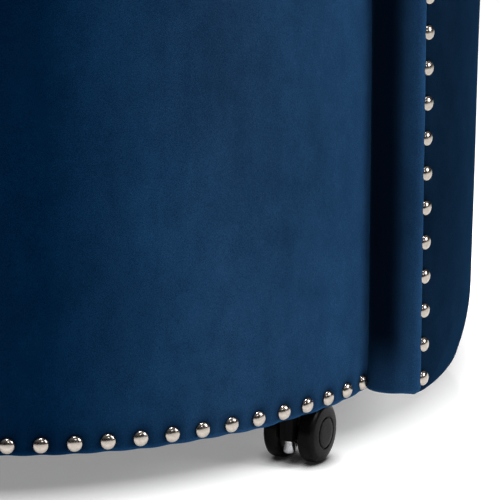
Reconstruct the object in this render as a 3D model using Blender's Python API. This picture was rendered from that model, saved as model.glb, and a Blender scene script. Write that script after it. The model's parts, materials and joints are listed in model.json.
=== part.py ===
"""Barrel armchair: velvet over a wooden frame, nail-trimmed, on four twin-wheel swivel casters.

Metres, +Z up, the chair faces -Y, and the floor is z = 0.  "left" and "right" are as seen from the
front, so right is +X.  The barrel's own axis is vertical; plan angles are measured about it, from
the front (0 degrees, -Y) towards the right (90 degrees, +X).  The origin is on the floor under the
middle of the chair, and the barrel's axis stands a little in front of it.
"""
from math import atan2, cos, degrees, exp, pi, radians, sin, sqrt

import bmesh
import bpy
from mathutils import Matrix, Vector

# ---------------------------------------------------------------- driving dimensions
WALL_R = 0.3785              # outside of the barrel just above its tucked foot
SEAT_TOP = 0.470             # crown of the seat
ARM_TOP = 0.610              # height of the arm at its front
BACK_TOP = 0.800             # height of the back
WHEEL_R = 0.025
ROLL_RADIUS = 0.022          # upright roll on the arm's front
ROLL_ANGLE = 59.0            # its plan angle

GAP = 0.0003                 # left between pieces that touch
FACET = 0.0012               # left between curved pieces, whose flat facets cut inside their circles
BUTT = 0.06                  # the same between pieces end to end, as a plan angle
RAIL_STEP, TOP_STEP, PANEL_STEP, PAD_STEP = 6.5, 5.0, 4.6, 6.2     # plan angles between stations

# ---------------------------------------------------------------- barrel
SKIRT_Z = 2 * WHEEL_R + 0.006        # lower edge of the upholstery
WALL_FLARE = 0.0136          # outward lean of the barrel, metres per metre of height
FOOT_TUCK = 0.0100           # how far the barrel's lower edge draws in
FOOT_TUCK_HEIGHT = 0.060
FOOT_CURVE = 2.2             # power of its curve
SKIN = 0.003                 # cloth and backing board of the outside panels
RISE_START, RISE_END = 74.0, 176.0   # plan angles between which the arm rises into the back
SIDE_SEAM = 128.0            # plan angle where arm panels meet back panels

ROLL_INSET = 0.015           # outer side of the upright roll, inside the barrel's wall
ROLL_R = WALL_R - ROLL_INSET - ROLL_RADIUS   # the roll from the barrel's axis
ROLL_BEND = 0.050            # bend from the upright roll into the arm top
ROLL_TURN = degrees(ROLL_BEND / ROLL_R)      # plan angle that the bend takes up
ARM_ROLL_HEIGHT = 0.028      # half heights of the padded top edge
BACK_ROLL_HEIGHT = 0.032
PANEL_FRONT = ROLL_ANGLE - 1.8       # where the outside panel starts, on the roll's outer side
PANEL_TUCK = 0.0016          # between the roll and the back of the outside panel
PANEL_BLEND = 5.0            # plan angle over which that tuck fades

INNER_FRONT_R = WALL_R - 0.0525      # inside of the arm at its front
PAD_FRONT = ROLL_ANGLE + 7           # plan angle where the inside arm's pad starts
LUMBAR_DEPTH = 0.091         # extra padding at the middle of the back, at seat height
TOP_DEPTH = 0.020            # the same at the top of the back
HOLLOW_CURVE = 1.35          # power of the curve from the arm to the middle of the back
RAKE_Z0, RAKE_Z1 = SEAT_TOP - 0.010, BACK_TOP - 0.040    # heights between which the back leans

# ---------------------------------------------------------------- seat
FRONT_R = ROLL_R - 0.0145    # bowed seat front
FRONT_PAD = 0.0085           # thickness of the padded front panel
ROLL_REACH = sqrt((ROLL_RADIUS + 0.0037) ** 2 - (ROLL_R - FRONT_R) ** 2)   # from the roll to the panel's end
FRONT_END = ROLL_ANGLE - degrees(ROLL_REACH / FRONT_R)       # plan angle where the seat front ends
SEAT_BASE = SEAT_TOP - 0.081         # underside of the seat cushion
FRONT_SEAM_Z = SEAT_TOP - 0.046      # seam where the seat front meets the seat
SEAM_BEVEL = 0.002
SEAT_SIDE_TOP = SEAT_TOP - 0.034
SEAT_CROWN = ((0.014, 0.965), (0.004, 0.87), (0.0, 0.55))    # drop below the crown, share of the plan
SEAT_NARROW, SEAT_NARROWED = FRONT_END - 2.8, FRONT_END + 1.7    # plan angles where it draws in
ROLL_TO_SEAT, PAD_TO_SEAT = 0.0045, 0.0015

# ---------------------------------------------------------------- wooden frame and springs
BOARD = 0.0182               # thickness of the curved front rails
FRONT_RAIL_END = FRONT_END - 3.3
RAIL_HEIGHT = 0.050
RAIL_R, RAIL_T = WALL_R - 0.0405, 0.024      # inside radius and thickness of the barrel's rails
SEAT_RAIL_Z = SEAT_BASE - 0.059
SEAT_RAIL_T = 0.024
SEAT_RAIL_R = RAIL_R - FACET - SEAT_RAIL_T
TOP_RAIL_HEIGHT = 0.045
TOP_RAIL_START = ROLL_ANGLE + ROLL_TURN + 1.6
POST_ANGLES = {"arm_post": (ROLL_ANGLE + 5, ROLL_ANGLE + 11), "side_post": (100.0, 105.0),
               "back_post": (140.0, 145.0)}
CASTER_X, CASTER_Y = 0.547 * WALL_R, 0.523 * WALL_R  # stems, from the barrel's axis
BEAM_HALF_WIDTH = 0.027      # beams that carry the casters
BEAM_HEIGHT = 0.040
CROSS_Y, CROSS_W = 0.25 * WALL_R, 0.036

SPRING_XS = (-0.150, -0.050, 0.050, 0.150)
SPRING_WIRE_R = 0.0019
SPRING_PITCH, SPRING_HALF_WIDTH = 0.046, 0.019
SPRING_WAVE = ((0.10, -1), (0.40, -1), (0.60, 1), (0.90, 1))     # corners: share of a wave, side

# ---------------------------------------------------------------- nails
NAIL_R, NAIL_H = 0.0063, 0.0038
NAIL_SIDES = 6
NAIL_SHOULDER = (0.8, 0.6)   # shares of its radius and height where the dome's facets break
NAIL_LINE = 0.0090           # nail centres above the lower edge
FRONT_NAIL_PITCH = 0.0254
FRONT_NAIL_END = 1.1         # plan angle from the panel's end to the first nail
SIDE_NAIL_PITCH = 0.0278
SIDE_NAIL_START = 0.0128     # lowest nail of each side row above the lower edge
NAIL_COLUMN_ANGLE = ROLL_ANGLE - 0.6     # plan angle of the nails beside the arm roll
NAIL_CORNER = 0.040          # radius of the row's turn from the column to the top edge
NAIL_DROP = 0.014            # nails below the middle of the padded top edge
NAIL_BAND_W, NAIL_BAND_T, NAIL_LIFT = 0.0036, 0.0010, 0.0005
NAIL_TRACE = 0.004           # distance between the traced points of the row

# ---------------------------------------------------------------- underside and casters
COVER_T = 0.0008             # dust cover under the frame
COVER_Z = SKIRT_Z + 0.0014
COVER_HOLE = 0.0015          # round each caster's collar
COVER_MARGIN = 0.0020        # inside the outside panels
FRAME_Z = COVER_Z + COVER_T + GAP    # underside of the wooden frame

CASTER_TRAIL = 0.019         # stem to axle
CASTER_HEADING = 58.0        # plan direction in which all four casters trail, from +X
WHEEL_INNER_X, WHEEL_OUTER_X = 0.0075, 0.0237
TREAD_INNER, TREAD_OUTER = 0.0025, 0.0050    # widths of the tread's bevels
WHEEL_RIM = ((0.0012, 0.0030), (0.0, 0.0080))        # from the outer face, below the tread
AXLE_R, STEM_R = 0.0030, 0.0040
BORE_CLEARANCE = 0.0003
WEB_T = 0.0125               # housing plate between the wheels
WEB_REACH, WEB_BACK, WEB_FRONT = 0.0135, 0.012, 0.008
BOSS_R = 0.0070
BOSS_Z0, BOSS_Z1 = WHEEL_R - 0.0035, SKIRT_Z - 0.0025
COLLAR_R = 0.0090
FOOT_RIM, FOOT_BEVEL, FOOT_NECK = 0.0008, 0.0012, 0.003      # riveted foot of the stem
STEM_FOOT_Z = BOSS_Z0 - 0.0110
STEM_TOP = SKIRT_Z + 0.036
STEM_BEVEL = (0.0020, 0.0015)
CAP_R, CAP_SET, CAP_T = 0.0125, 0.0008, 0.0028   # cap in the wheel's side: radius, recess, thickness
WHEEL_STEPS = 18
HOLE_REACH = 0.01            # how far cutters pass beyond what they cut

CASTERS = {
    "front_left": (-CASTER_X, -CASTER_Y),
    "front_right": (CASTER_X, -CASTER_Y),
    "rear_left": (-CASTER_X, CASTER_Y),
    "rear_right": (CASTER_X, CASTER_Y),
}


# ---------------------------------------------------------------- materials and objects
def material(name, colour, metallic=0.0, roughness=0.5):
    mat = bpy.data.materials.new(name)
    mat.use_nodes = True
    shader = mat.node_tree.nodes["Principled BSDF"]
    shader.inputs["Base Color"].default_value = (*colour, 1.0)
    shader.inputs["Metallic"].default_value = metallic
    shader.inputs["Roughness"].default_value = roughness
    mat.diffuse_color = (*colour, 1.0)
    return mat


def add_object(name, mesh, mat, location=(0, 0, 0), turn=0.0, smooth=30.0):
    """Put a mesh in the scene under the chair's empty, shaded smooth below the given edge angle."""
    if not mesh.materials:
        mesh.materials.append(mat)
    mesh.shade_smooth()
    mesh.set_sharp_from_angle(angle=radians(smooth))
    piece = bpy.data.objects.new(name, mesh)
    bpy.context.collection.objects.link(piece)
    piece.parent = chair
    piece.location = location
    piece.rotation_euler = (0, 0, turn)
    return piece


def mesh_from(name, verts, faces):
    mesh = bpy.data.meshes.new(name)
    mesh.from_pydata([tuple(v) for v in verts], [], faces)
    bm = bmesh.new()
    bm.from_mesh(mesh)
    bmesh.ops.recalc_face_normals(bm, faces=bm.faces)
    bm.to_mesh(mesh)
    bm.free()
    return mesh


def loft(name, sections):
    """Closed mesh through a list of matching closed outlines, with a flat cap at each end."""
    count = len(sections[0])
    verts = [point for section in sections for point in section]
    faces = []
    for i in range(len(sections) - 1):
        for j in range(count):
            k = (j + 1) % count
            faces.append((i * count + j, i * count + k, (i + 1) * count + k, (i + 1) * count + j))
    last = (len(sections) - 1) * count
    faces.append(tuple(range(count)))
    faces.append(tuple(range(last, last + count)))
    return mesh_from(name, verts, faces)


def turned(name, profile, steps):
    """Solid of revolution about local X, from (x, radius) points; the first and last are on the axis."""
    verts, rings = [], []
    for x, radius in profile:
        if radius == 0:
            rings.append([len(verts)])
            verts.append((x, 0, 0))
            continue
        rings.append(list(range(len(verts), len(verts) + steps)))
        for k in range(steps):
            angle = 2 * pi * (k + 0.5) / steps
            verts.append((x, radius * sin(angle), radius * cos(angle)))
    faces = []
    for low, high in zip(rings, rings[1:]):
        for k in range(steps):
            m = (k + 1) % steps
            if len(low) == 1:
                faces.append((low[0], high[k], high[m]))
            elif len(high) == 1:
                faces.append((low[k], low[m], high[0]))
            else:
                faces.append((low[k], low[m], high[m], high[k]))
    return mesh_from(name, verts, faces)


def prism(name, outline, z0, z1):
    """Upright prism over a plan outline of (x, y) points."""
    return loft(name, [[Vector((x, y, z)) for x, y in outline] for z in (z0, z1)])


def cylinder(name, radius, z0, z1, steps=20):
    ring = [(radius * cos(2 * pi * k / steps), radius * sin(2 * pi * k / steps)) for k in range(steps)]
    return prism(name, ring, z0, z1)


def combined(name, mesh, *operations):
    """Mesh after Boolean operations, each an (operation, mesh) pair."""
    base = bpy.data.objects.new(name, mesh)
    bpy.context.collection.objects.link(base)
    helpers = [base]
    for operation, other in operations:
        cutter = bpy.data.objects.new("cutter", other)
        bpy.context.collection.objects.link(cutter)
        helpers.append(cutter)
        boolean = base.modifiers.new(operation, "BOOLEAN")
        boolean.operation = operation
        boolean.object = cutter
        boolean.solver = "EXACT"
    depsgraph = bpy.context.evaluated_depsgraph_get()
    result = bpy.data.meshes.new_from_object(base.evaluated_get(depsgraph))
    result.name = name
    for helper in helpers:
        bpy.data.objects.remove(helper)
    return result


# ---------------------------------------------------------------- the chair's shape
def smooth_step(t):
    t = min(1.0, max(0.0, t))
    return t * t * (3 - 2 * t)


def polar(angle, r, z):
    """Point at a plan angle in degrees, a distance from the barrel's axis, and a height."""
    a = radians(angle)
    return Vector((r * sin(a), -r * cos(a), z))


def side_angle(angle):
    """The same place on the right half, 0 to 180 degrees."""
    return abs(angle) if abs(angle) <= 180 else 360 - abs(angle)


def wall_r(angle, z):
    """Outside of the barrel: a slight flare, drawn in at the lower edge and at the front nail line."""
    r = WALL_R + WALL_FLARE * (z - SKIRT_Z - FOOT_TUCK_HEIGHT)
    foot = FOOT_TUCK * max(0.0, 1 - (z - SKIRT_Z) / FOOT_TUCK_HEIGHT) ** FOOT_CURVE
    over_roll = ROLL_R + ROLL_RADIUS + SKIN + PANEL_TUCK
    front = (r - over_roll) * exp(-((side_angle(angle) - PANEL_FRONT) / PANEL_BLEND) ** 2)
    return r - max(foot, front)


def inner_r(angle, z):
    """Inside of the arms and back: deepest at the middle of the back, and raked."""
    t = max(0.0, (side_angle(angle) - ROLL_ANGLE) / (180 - ROLL_ANGLE))
    lean = min(1.0, max(0.0, (z - RAKE_Z0) / (RAKE_Z1 - RAKE_Z0)))
    depth = LUMBAR_DEPTH + (TOP_DEPTH - LUMBAR_DEPTH) * lean
    return INNER_FRONT_R - depth * sin(pi / 2 * t) ** HOLLOW_CURVE


def top_z(angle):
    """Height of the chair's top edge."""
    rise = smooth_step((side_angle(angle) - RISE_START) / (RISE_END - RISE_START))
    return ARM_TOP + (BACK_TOP - ARM_TOP) * rise


def roll_half_height(angle):
    rise = smooth_step((side_angle(angle) - RISE_START) / (RISE_END - RISE_START))
    return ARM_ROLL_HEIGHT + (BACK_ROLL_HEIGHT - ARM_ROLL_HEIGHT) * rise


def roll_centre_z(angle):
    return top_z(angle) - roll_half_height(angle)


def panel_top(angle):
    """Upper edge of the outside panel: along the middle of the roll, round its bend and down its front."""
    past = (side_angle(angle) - PANEL_FRONT) / (ROLL_ANGLE + ROLL_TURN - PANEL_FRONT)
    if past >= 1:
        return roll_centre_z(angle)
    bend = sqrt(1 - (1 - max(0.0, past)) ** 2)
    return roll_centre_z(ROLL_ANGLE + ROLL_TURN) - ROLL_BEND * (1 - bend)


def below_roll(angle):
    """Height just under the padded top edge."""
    return roll_centre_z(angle) - roll_half_height(angle) - GAP


def angles(start, end, step):
    count = max(1, round(abs(end - start) / step))
    return [start + (end - start) * i / count for i in range(count + 1)]


def arc_piece(name, start, end, step, outline):
    """Loft round the barrel's axis; outline(angle) gives (radius, height) points."""
    return loft(name, [[polar(a, r, z) for r, z in outline(a)] for a in angles(start, end, step)])


def rail(name, start, end, r, thickness, z0, z1):
    """Curved wooden rail of rectangular section."""
    section = [(r, z0), (r + thickness, z0), (r + thickness, z1), (r, z1)]
    add_object(name, arc_piece(name, start, end, RAIL_STEP, lambda a: section), wood)


def middle_y():
    """Barrel axis, from the middle of the chair: half way between its front and the nails round its back."""
    return (FRONT_R - wall_r(180, roll_centre_z(180) - NAIL_DROP)) / 2


# ---------------------------------------------------------------- wooden frame
def front_rail_inner_r():
    """Inside of the front rails, which lie against the flat facets of the front panel."""
    return (FRONT_R - FRONT_PAD) * cos(radians(PANEL_STEP / 2)) - GAP - BOARD


def build_frame():
    rail_top = FRAME_Z + RAIL_HEIGHT
    front_rail_r = front_rail_inner_r()
    for name, z in (("base_rail_front", FRAME_Z), ("seat_rail_front", SEAT_RAIL_Z)):
        rail(name, -FRONT_RAIL_END, FRONT_RAIL_END, front_rail_r, BOARD, z, z + RAIL_HEIGHT)

    for side, sign in (("left", -1), ("right", 1)):
        arm_post = POST_ANGLES["arm_post"]
        rail(f"base_rail_{side}", sign * (arm_post[1] + BUTT), sign * (SIDE_SEAM - BUTT),
             RAIL_R, RAIL_T, FRAME_Z, rail_top)
        rail(f"seat_rail_{side}", sign * arm_post[0], sign * (SIDE_SEAM - BUTT),
             SEAT_RAIL_R, SEAT_RAIL_T, SEAT_RAIL_Z, SEAT_RAIL_Z + RAIL_HEIGHT)
        for post, (a0, a1) in POST_ANGLES.items():
            foot = FRAME_Z if post == "arm_post" else rail_top + GAP
            top = min(below_roll(a0), below_roll(a1)) - TOP_RAIL_HEIGHT - FACET
            rail(f"{post}_{side}", sign * a0, sign * a1, RAIL_R, RAIL_T, foot, top)
        add_object(f"top_rail_{side}", top_rail_mesh(sign * TOP_RAIL_START, sign * (SIDE_SEAM - BUTT)), wood)
        build_beam(side, sign)

    rail("base_rail_back", SIDE_SEAM, 360 - SIDE_SEAM, RAIL_R, RAIL_T, FRAME_Z, rail_top)
    rail("seat_rail_back", SIDE_SEAM, 360 - SIDE_SEAM, SEAT_RAIL_R, SEAT_RAIL_T,
         SEAT_RAIL_Z, SEAT_RAIL_Z + RAIL_HEIGHT)
    add_object("top_rail_back", top_rail_mesh(SIDE_SEAM, 360 - SIDE_SEAM), wood)

    for end, y in (("front", -CROSS_Y), ("back", CROSS_Y)):
        x = CASTER_X - BEAM_HALF_WIDTH - GAP
        outline = [(-x, y - CROSS_W / 2), (x, y - CROSS_W / 2), (x, y + CROSS_W / 2), (-x, y + CROSS_W / 2)]
        add_object(f"cross_rail_{end}", prism(f"cross_rail_{end}", outline, FRAME_Z, FRAME_Z + BEAM_HEIGHT),
                   wood)


def top_rail_mesh(start, end):
    """Rail under the padded top edge, rising with it; its underside clears the posts below."""
    def outline(a):
        z1 = below_roll(a)
        z0 = z1 - TOP_RAIL_HEIGHT
        return [(RAIL_R, z0), (RAIL_R + RAIL_T, z0), (RAIL_R + RAIL_T, z1), (RAIL_R, z1)]
    return arc_piece("top_rail", start, end, TOP_STEP, outline)


def build_beam(side, sign):
    """Beam from the front rail to the back rail, bored for two caster stems."""
    xs = [CASTER_X + BEAM_HALF_WIDTH * i / 2 for i in (-2, -1, 0, 1, 2)]
    flats = cos(radians(RAIL_STEP / 2))
    front_r = (front_rail_inner_r() - GAP) * flats
    back_r = (RAIL_R - GAP) * flats
    outline = [(sign * x, -sqrt(front_r ** 2 - x * x)) for x in xs]
    outline += [(sign * x, sqrt(back_r ** 2 - x * x)) for x in reversed(xs)]
    cuts = []
    for y in (-CASTER_Y, CASTER_Y):
        hole = cylinder("hole", STEM_R + BORE_CLEARANCE, FRAME_Z - HOLE_REACH, STEM_TOP + GAP)
        hole.transform(Matrix.Translation((sign * CASTER_X, y, 0)))
        cuts.append(("DIFFERENCE", hole))
    beam = prism("beam", outline, FRAME_Z, FRAME_Z + BEAM_HEIGHT)
    add_object(f"base_beam_{side}", combined(f"base_beam_{side}", beam, *cuts), wood)


# ---------------------------------------------------------------- springs
def build_springs():
    """Flat zigzag wires that lie on the front and back seat rails."""
    z = SEAT_RAIL_Z + RAIL_HEIGHT + GAP + SPRING_WIRE_R
    for index, x in enumerate(SPRING_XS, start=1):
        reach = abs(x) + SPRING_HALF_WIDTH
        y0 = -sqrt((FRONT_R - FRONT_PAD - 0.5 * BOARD) ** 2 - reach ** 2)
        y1 = sqrt((SEAT_RAIL_R + 0.5 * SEAT_RAIL_T) ** 2 - reach ** 2)
        waves = round((y1 - y0) / SPRING_PITCH)
        pitch = (y1 - y0) / waves
        path = []
        for k in range(waves):
            for part, side in SPRING_WAVE:
                path.append(Vector((x + side * SPRING_HALF_WIDTH, y0 + (k + part) * pitch, z)))
        name = f"seat_spring_{index}"
        add_object(name, wire(name, path, SPRING_WIRE_R), steel)


def wire(name, path, radius, sides=4):
    """Round wire along a flat path."""
    sections = []
    for i, point in enumerate(path):
        before = path[max(0, i - 1)]
        after = path[min(len(path) - 1, i + 1)]
        ahead = (after - before).normalized()
        across = Vector((0, 0, 1)).cross(ahead)
        sections.append([point + radius * (cos(2 * pi * k / sides) * across
                                           + Vector((0, 0, sin(2 * pi * k / sides))))
                         for k in range(sides)])
    return loft(name, sections)


# ---------------------------------------------------------------- upholstery solids
def build_seat():
    behind = FRONT_R - FRONT_PAD
    front = [(behind, SKIRT_Z), (FRONT_R, SKIRT_Z), (FRONT_R, FRONT_SEAM_Z), (behind, FRONT_SEAM_Z)]
    add_object("front_panel", arc_piece("front_panel", -FRONT_END, FRONT_END, PANEL_STEP, lambda a: front),
               velvet)

    def ring(z, share=1.0, most=FRONT_R):
        return [polar(a, min(most, share * seat_plan_r(a)), z) for a in seat_angles()]
    sections = [ring(SEAT_BASE, most=behind - FACET), ring(FRONT_SEAM_Z + GAP, most=behind - FACET),
                ring(FRONT_SEAM_Z + SEAM_BEVEL), ring(SEAT_SIDE_TOP)]
    sections += [ring(SEAT_TOP - drop, share) for drop, share in SEAT_CROWN]
    add_object("seat_cushion", loft("seat_cushion", sections), velvet)


def seat_angles():
    middle = 0.5 * (SEAT_NARROW + SEAT_NARROWED)
    beside = [middle, SEAT_NARROWED, ROLL_ANGLE, 0.5 * (ROLL_ANGLE + PAD_FRONT), PAD_FRONT]
    half = angles(0, SEAT_NARROW, RAIL_STEP) + beside + angles(PAD_FRONT + RAIL_STEP, 180, RAIL_STEP)
    return half + [-a for a in reversed(half[1:-1])]


def seat_plan_r(angle):
    """Edge of the seat cushion: the bowed front, then inside the arm rolls, arms and back."""
    a = side_angle(angle)
    if a < PAD_FRONT:
        narrow = smooth_step((a - SEAT_NARROW) / (SEAT_NARROWED - SEAT_NARROW))
        return FRONT_R + (ROLL_R - ROLL_RADIUS - ROLL_TO_SEAT - FRONT_R) * narrow
    return inner_r(a, SEAT_BASE) - PAD_TO_SEAT


def inside_pad(name, start, end):
    """Padded inside panel from the seat to the underside of the top edge."""
    def outline(a):
        top = below_roll(a)
        heights = [SEAT_BASE + (top - SEAT_BASE) * f for f in (0, 0.22, 0.5, 0.75, 1)]
        return [(inner_r(a, z), z) for z in heights] + [(RAIL_R - FACET, top), (RAIL_R - FACET, SEAT_BASE)]
    add_object(name, arc_piece(name, start, end, PAD_STEP, outline), velvet)


def outside_panel(name, stations):
    """Skin of the barrel from its tucked foot to half way up the padded top edge."""
    def outline(a):
        top = panel_top(a)
        foot = [SKIRT_Z + FOOT_TUCK_HEIGHT * share for share in (0, 0.27, 0.57, 1)]
        heights = foot + [0.5 * (foot[-1] + top), top]
        outer = [(wall_r(a, z), z) for z in heights]
        return outer + [(r - SKIN, z) for r, z in reversed(outer)]
    sections = [[polar(a, r, z) for r, z in outline(a)] for a in stations]
    add_object(name, loft(name, sections), velvet)


def roll_section(angle, r, z, half_width, half_height, tilt, sides=14):
    """Elliptical section of the roll; tilt is 0 where the roll stands upright and 1 where it lies."""
    sign = -1 if angle < 0 or angle > 180 else 1
    centre = polar(angle, r, z)
    radial = polar(angle, 1, 0)
    forward = -sign * polar(angle + 90, 1, 0)
    across = forward * cos(pi / 2 * tilt) + Vector((0, 0, sin(pi / 2 * tilt)))
    return [centre + half_width * cos(2 * pi * k / sides) * radial
            + half_height * sin(2 * pi * k / sides) * across for k in range(sides)]


def roll_outside(angle, z):
    """Outer side of the padded top edge, just inside the outside panel's skin."""
    return wall_r(angle, z - roll_half_height(angle)) - SKIN - FACET


def top_roll_section(angle):
    """Section of the padded top edge, which fills the barrel's wall from inside to outside."""
    z = roll_centre_z(angle)
    inside = inner_r(angle, z)
    outside = roll_outside(angle, z)
    return roll_section(angle, (inside + outside) / 2, z, (outside - inside) / 2,
                        roll_half_height(angle), 1)


def arm_roll(name, sign):
    """Roll that stands on the arm's front and bends over into the arm's padded top edge."""
    sections = [roll_section(sign * ROLL_ANGLE, ROLL_R, z, ROLL_RADIUS, ROLL_RADIUS, 0)
                for z in (SKIRT_Z, ARM_TOP - ARM_ROLL_HEIGHT - ROLL_BEND)]
    first = ROLL_ANGLE + ROLL_TURN
    z_end = roll_centre_z(first)
    for k in range(1, 5):
        t = k / 5
        bend = pi / 2 * t
        angle = ROLL_ANGLE + ROLL_TURN * (1 - cos(bend))
        inside = (1 - t) * (ROLL_R - ROLL_RADIUS) + t * inner_r(first, z_end)
        outside = (1 - t) * (ROLL_R + ROLL_RADIUS) + t * roll_outside(angle, z_end)
        half_height = ROLL_RADIUS + (ARM_ROLL_HEIGHT - ROLL_RADIUS) * t
        sections.append(roll_section(sign * angle, (inside + outside) / 2, z_end - ROLL_BEND * (1 - sin(bend)),
                                     (outside - inside) / 2, half_height, t))
    sections += [top_roll_section(sign * a) for a in angles(first, SIDE_SEAM - BUTT, TOP_STEP)]
    add_object(name, loft(name, sections), velvet)


def build_upholstery():
    build_seat()
    for side, sign in (("left", -1), ("right", 1)):
        inside_pad(f"inside_arm_{side}", sign * PAD_FRONT, sign * (SIDE_SEAM - BUTT))
        close = [PANEL_FRONT + PANEL_BLEND * share for share in (0, 0.24, 0.48, 0.76, 1.08, 1.48, 2.0)]
        outside_panel(f"outside_arm_{side}",
                      [sign * a for a in close + angles(close[-1] + PANEL_STEP, SIDE_SEAM - BUTT, PANEL_STEP)])
        arm_roll(f"arm_roll_{side}", sign)
    inside_pad("inside_back", SIDE_SEAM, 360 - SIDE_SEAM)
    outside_panel("outside_back", angles(SIDE_SEAM, 360 - SIDE_SEAM, PANEL_STEP))
    back = [top_roll_section(a) for a in angles(SIDE_SEAM, 360 - SIDE_SEAM, TOP_STEP)]
    add_object("back_roll", loft("back_roll", back), velvet)


def build_dust_cover():
    """Thin cloth under the frame, with holes round the caster collars."""
    front_r = min(FRONT_R - FRONT_PAD, ROLL_R - ROLL_RADIUS) - FACET
    at_front = [(a, front_r) for a in angles(0, POST_ANGLES["arm_post"][0], TOP_STEP)]
    behind = [(a, WALL_R - FOOT_TUCK - SKIN - COVER_MARGIN) for a in angles(PAD_FRONT, 180, TOP_STEP)]
    half = at_front + behind
    outline = [polar(a, r, 0).xy for a, r in half + [(-a, r) for a, r in reversed(half[1:-1])]]
    cuts = []
    for x, y in CASTERS.values():
        hole = cylinder("hole", COLLAR_R + COVER_HOLE, COVER_Z - HOLE_REACH, COVER_Z + HOLE_REACH, 16)
        hole.transform(Matrix.Translation((x, y, 0)))
        cuts.append(("DIFFERENCE", hole))
    cover = prism("cover", outline, COVER_Z, COVER_Z + COVER_T)
    add_object("dust_cover", combined("dust_cover", cover, *cuts), cloth)


# ---------------------------------------------------------------- nail trim
def nail_trim(name, path, pitch):
    """Row of domed nails on a thin band; path(s) gives a point and its outward normal."""
    count, pitch = path.spacing(pitch)
    stations = [pitch * i / 2 for i in range(2 * count + 1)]     # two per nail, to follow the curve
    sections = []
    for s in stations:
        point, out = path(s)
        ahead = (path(min(path.length, s + GAP))[0] - path(max(0, s - GAP))[0]).normalized()
        across = ahead.cross(out).normalized() * NAIL_BAND_W / 2
        low = point + out * NAIL_LIFT
        high = point + out * (NAIL_LIFT + NAIL_BAND_T)
        sections.append([low - across, low + across, high + across, high - across])
    heads = []
    faces = []
    for i in range(count + 1):
        point, out = path(pitch * i)
        frame = out.to_track_quat("Z", "Y").to_matrix()
        base = point + out * (NAIL_LIFT + NAIL_BAND_T / 2)
        start = len(heads)
        for radius, height in ((NAIL_R, 0.0), (NAIL_R * NAIL_SHOULDER[0], NAIL_H * NAIL_SHOULDER[1])):
            for k in range(NAIL_SIDES):
                a = 2 * pi * k / NAIL_SIDES
                heads.append(base + frame @ Vector((radius * cos(a), radius * sin(a), height)))
        heads.append(base + out * NAIL_H)
        faces.append([start + k for k in range(NAIL_SIDES)])
        upper = start + NAIL_SIDES
        for k in range(NAIL_SIDES):
            m = (k + 1) % NAIL_SIDES
            faces.append([start + k, start + m, upper + m, upper + k])
            faces.append([upper + k, upper + m, upper + NAIL_SIDES])
    band = loft(name, sections)
    domes = mesh_from(name, heads, faces)
    add_object(name, combined(name, band, ("UNION", domes)), nickel)


class FrontNailPath:
    """Along the lower edge of the seat front, set out from its right end."""
    half_angle = FRONT_END - FRONT_NAIL_END
    length = 2 * radians(half_angle) * FRONT_R

    def spacing(self, pitch):
        return int(self.length / pitch), pitch

    def __call__(self, s):
        a = self.half_angle - degrees(s / FRONT_R)
        return polar(a, FRONT_R, SKIRT_Z + NAIL_LINE), polar(a, 1, 0)


class SideNailPath:
    """Up beside the arm roll, round its top corner, then along the top edge to the middle of the back."""
    def __init__(self, sign):
        self.sign = sign
        self.points = self.trace()
        self.length = NAIL_TRACE * (len(self.points) - 1)

    def spacing(self, pitch):
        """The row stops half a pitch short of the middle of the back, where the other side's row ends."""
        count = round(self.length / pitch - 0.5)
        return count, self.length / (count + 0.5)

    def place(self, angle, z):
        return polar(self.sign * angle, wall_r(angle, z), z)

    def trace(self):
        """Points one step apart."""
        raw = []
        z_start, z_bend = SKIRT_Z + SIDE_NAIL_START, roll_centre_z(ROLL_ANGLE) - NAIL_DROP - NAIL_CORNER
        turn = degrees(NAIL_CORNER / WALL_R)
        for i in range(60):
            raw.append(self.place(NAIL_COLUMN_ANGLE, z_start + (z_bend - z_start) * i / 60))
        for i in range(16):
            b = pi / 2 * i / 16
            raw.append(self.place(NAIL_COLUMN_ANGLE + turn * (1 - cos(b)), z_bend + NAIL_CORNER * sin(b)))
        for a in angles(NAIL_COLUMN_ANGLE + turn, 180, 0.5):
            raw.append(self.place(a, roll_centre_z(a) - NAIL_DROP))
        points, here, left = [raw[0]], raw[0], NAIL_TRACE
        for target in raw[1:]:
            while (target - here).length >= left:
                here = here + (target - here).normalized() * left
                points.append(here)
                left = NAIL_TRACE
            left -= (target - here).length
            here = target
        return points

    def __call__(self, s):
        i = min(len(self.points) - 2, int(s / NAIL_TRACE))
        point = self.points[i].lerp(self.points[i + 1], s / NAIL_TRACE - i)
        angle = degrees(atan2(abs(point.x), -point.y))
        along = self.place(angle + 0.1, point.z) - self.place(angle - 0.1, point.z)
        up = self.place(angle, point.z + 0.001) - self.place(angle, point.z - 0.001)
        return point, self.sign * along.cross(up).normalized()


def build_nails():
    nail_trim("nail_trim_front", FrontNailPath(), FRONT_NAIL_PITCH)
    for side, sign in (("left", -1), ("right", 1)):
        nail_trim(f"nail_trim_{side}", SideNailPath(sign), SIDE_NAIL_PITCH)


# ---------------------------------------------------------------- casters
def stem_mesh():
    """Stem: riveted foot, journal through the housing, collar, and shank up into the beam."""
    collar_z0, collar_z1 = BOSS_Z1 + GAP, FRAME_Z - GAP
    foot_r = STEM_R + FOOT_RIM
    points = [(STEM_FOOT_Z, 0), (STEM_FOOT_Z, STEM_R), (STEM_FOOT_Z + FOOT_BEVEL, foot_r),
              (BOSS_Z0 - GAP - FOOT_NECK, foot_r), (BOSS_Z0 - GAP, STEM_R), (collar_z0, STEM_R),
              (collar_z0, COLLAR_R), (collar_z1, COLLAR_R), (collar_z1, STEM_R),
              (STEM_TOP - STEM_BEVEL[0], STEM_R), (STEM_TOP, STEM_R - STEM_BEVEL[1]), (STEM_TOP, 0)]
    mesh = turned("caster_stem", points, 16)
    mesh.transform(Matrix.Rotation(-pi / 2, 4, "Y"))
    return mesh


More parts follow.
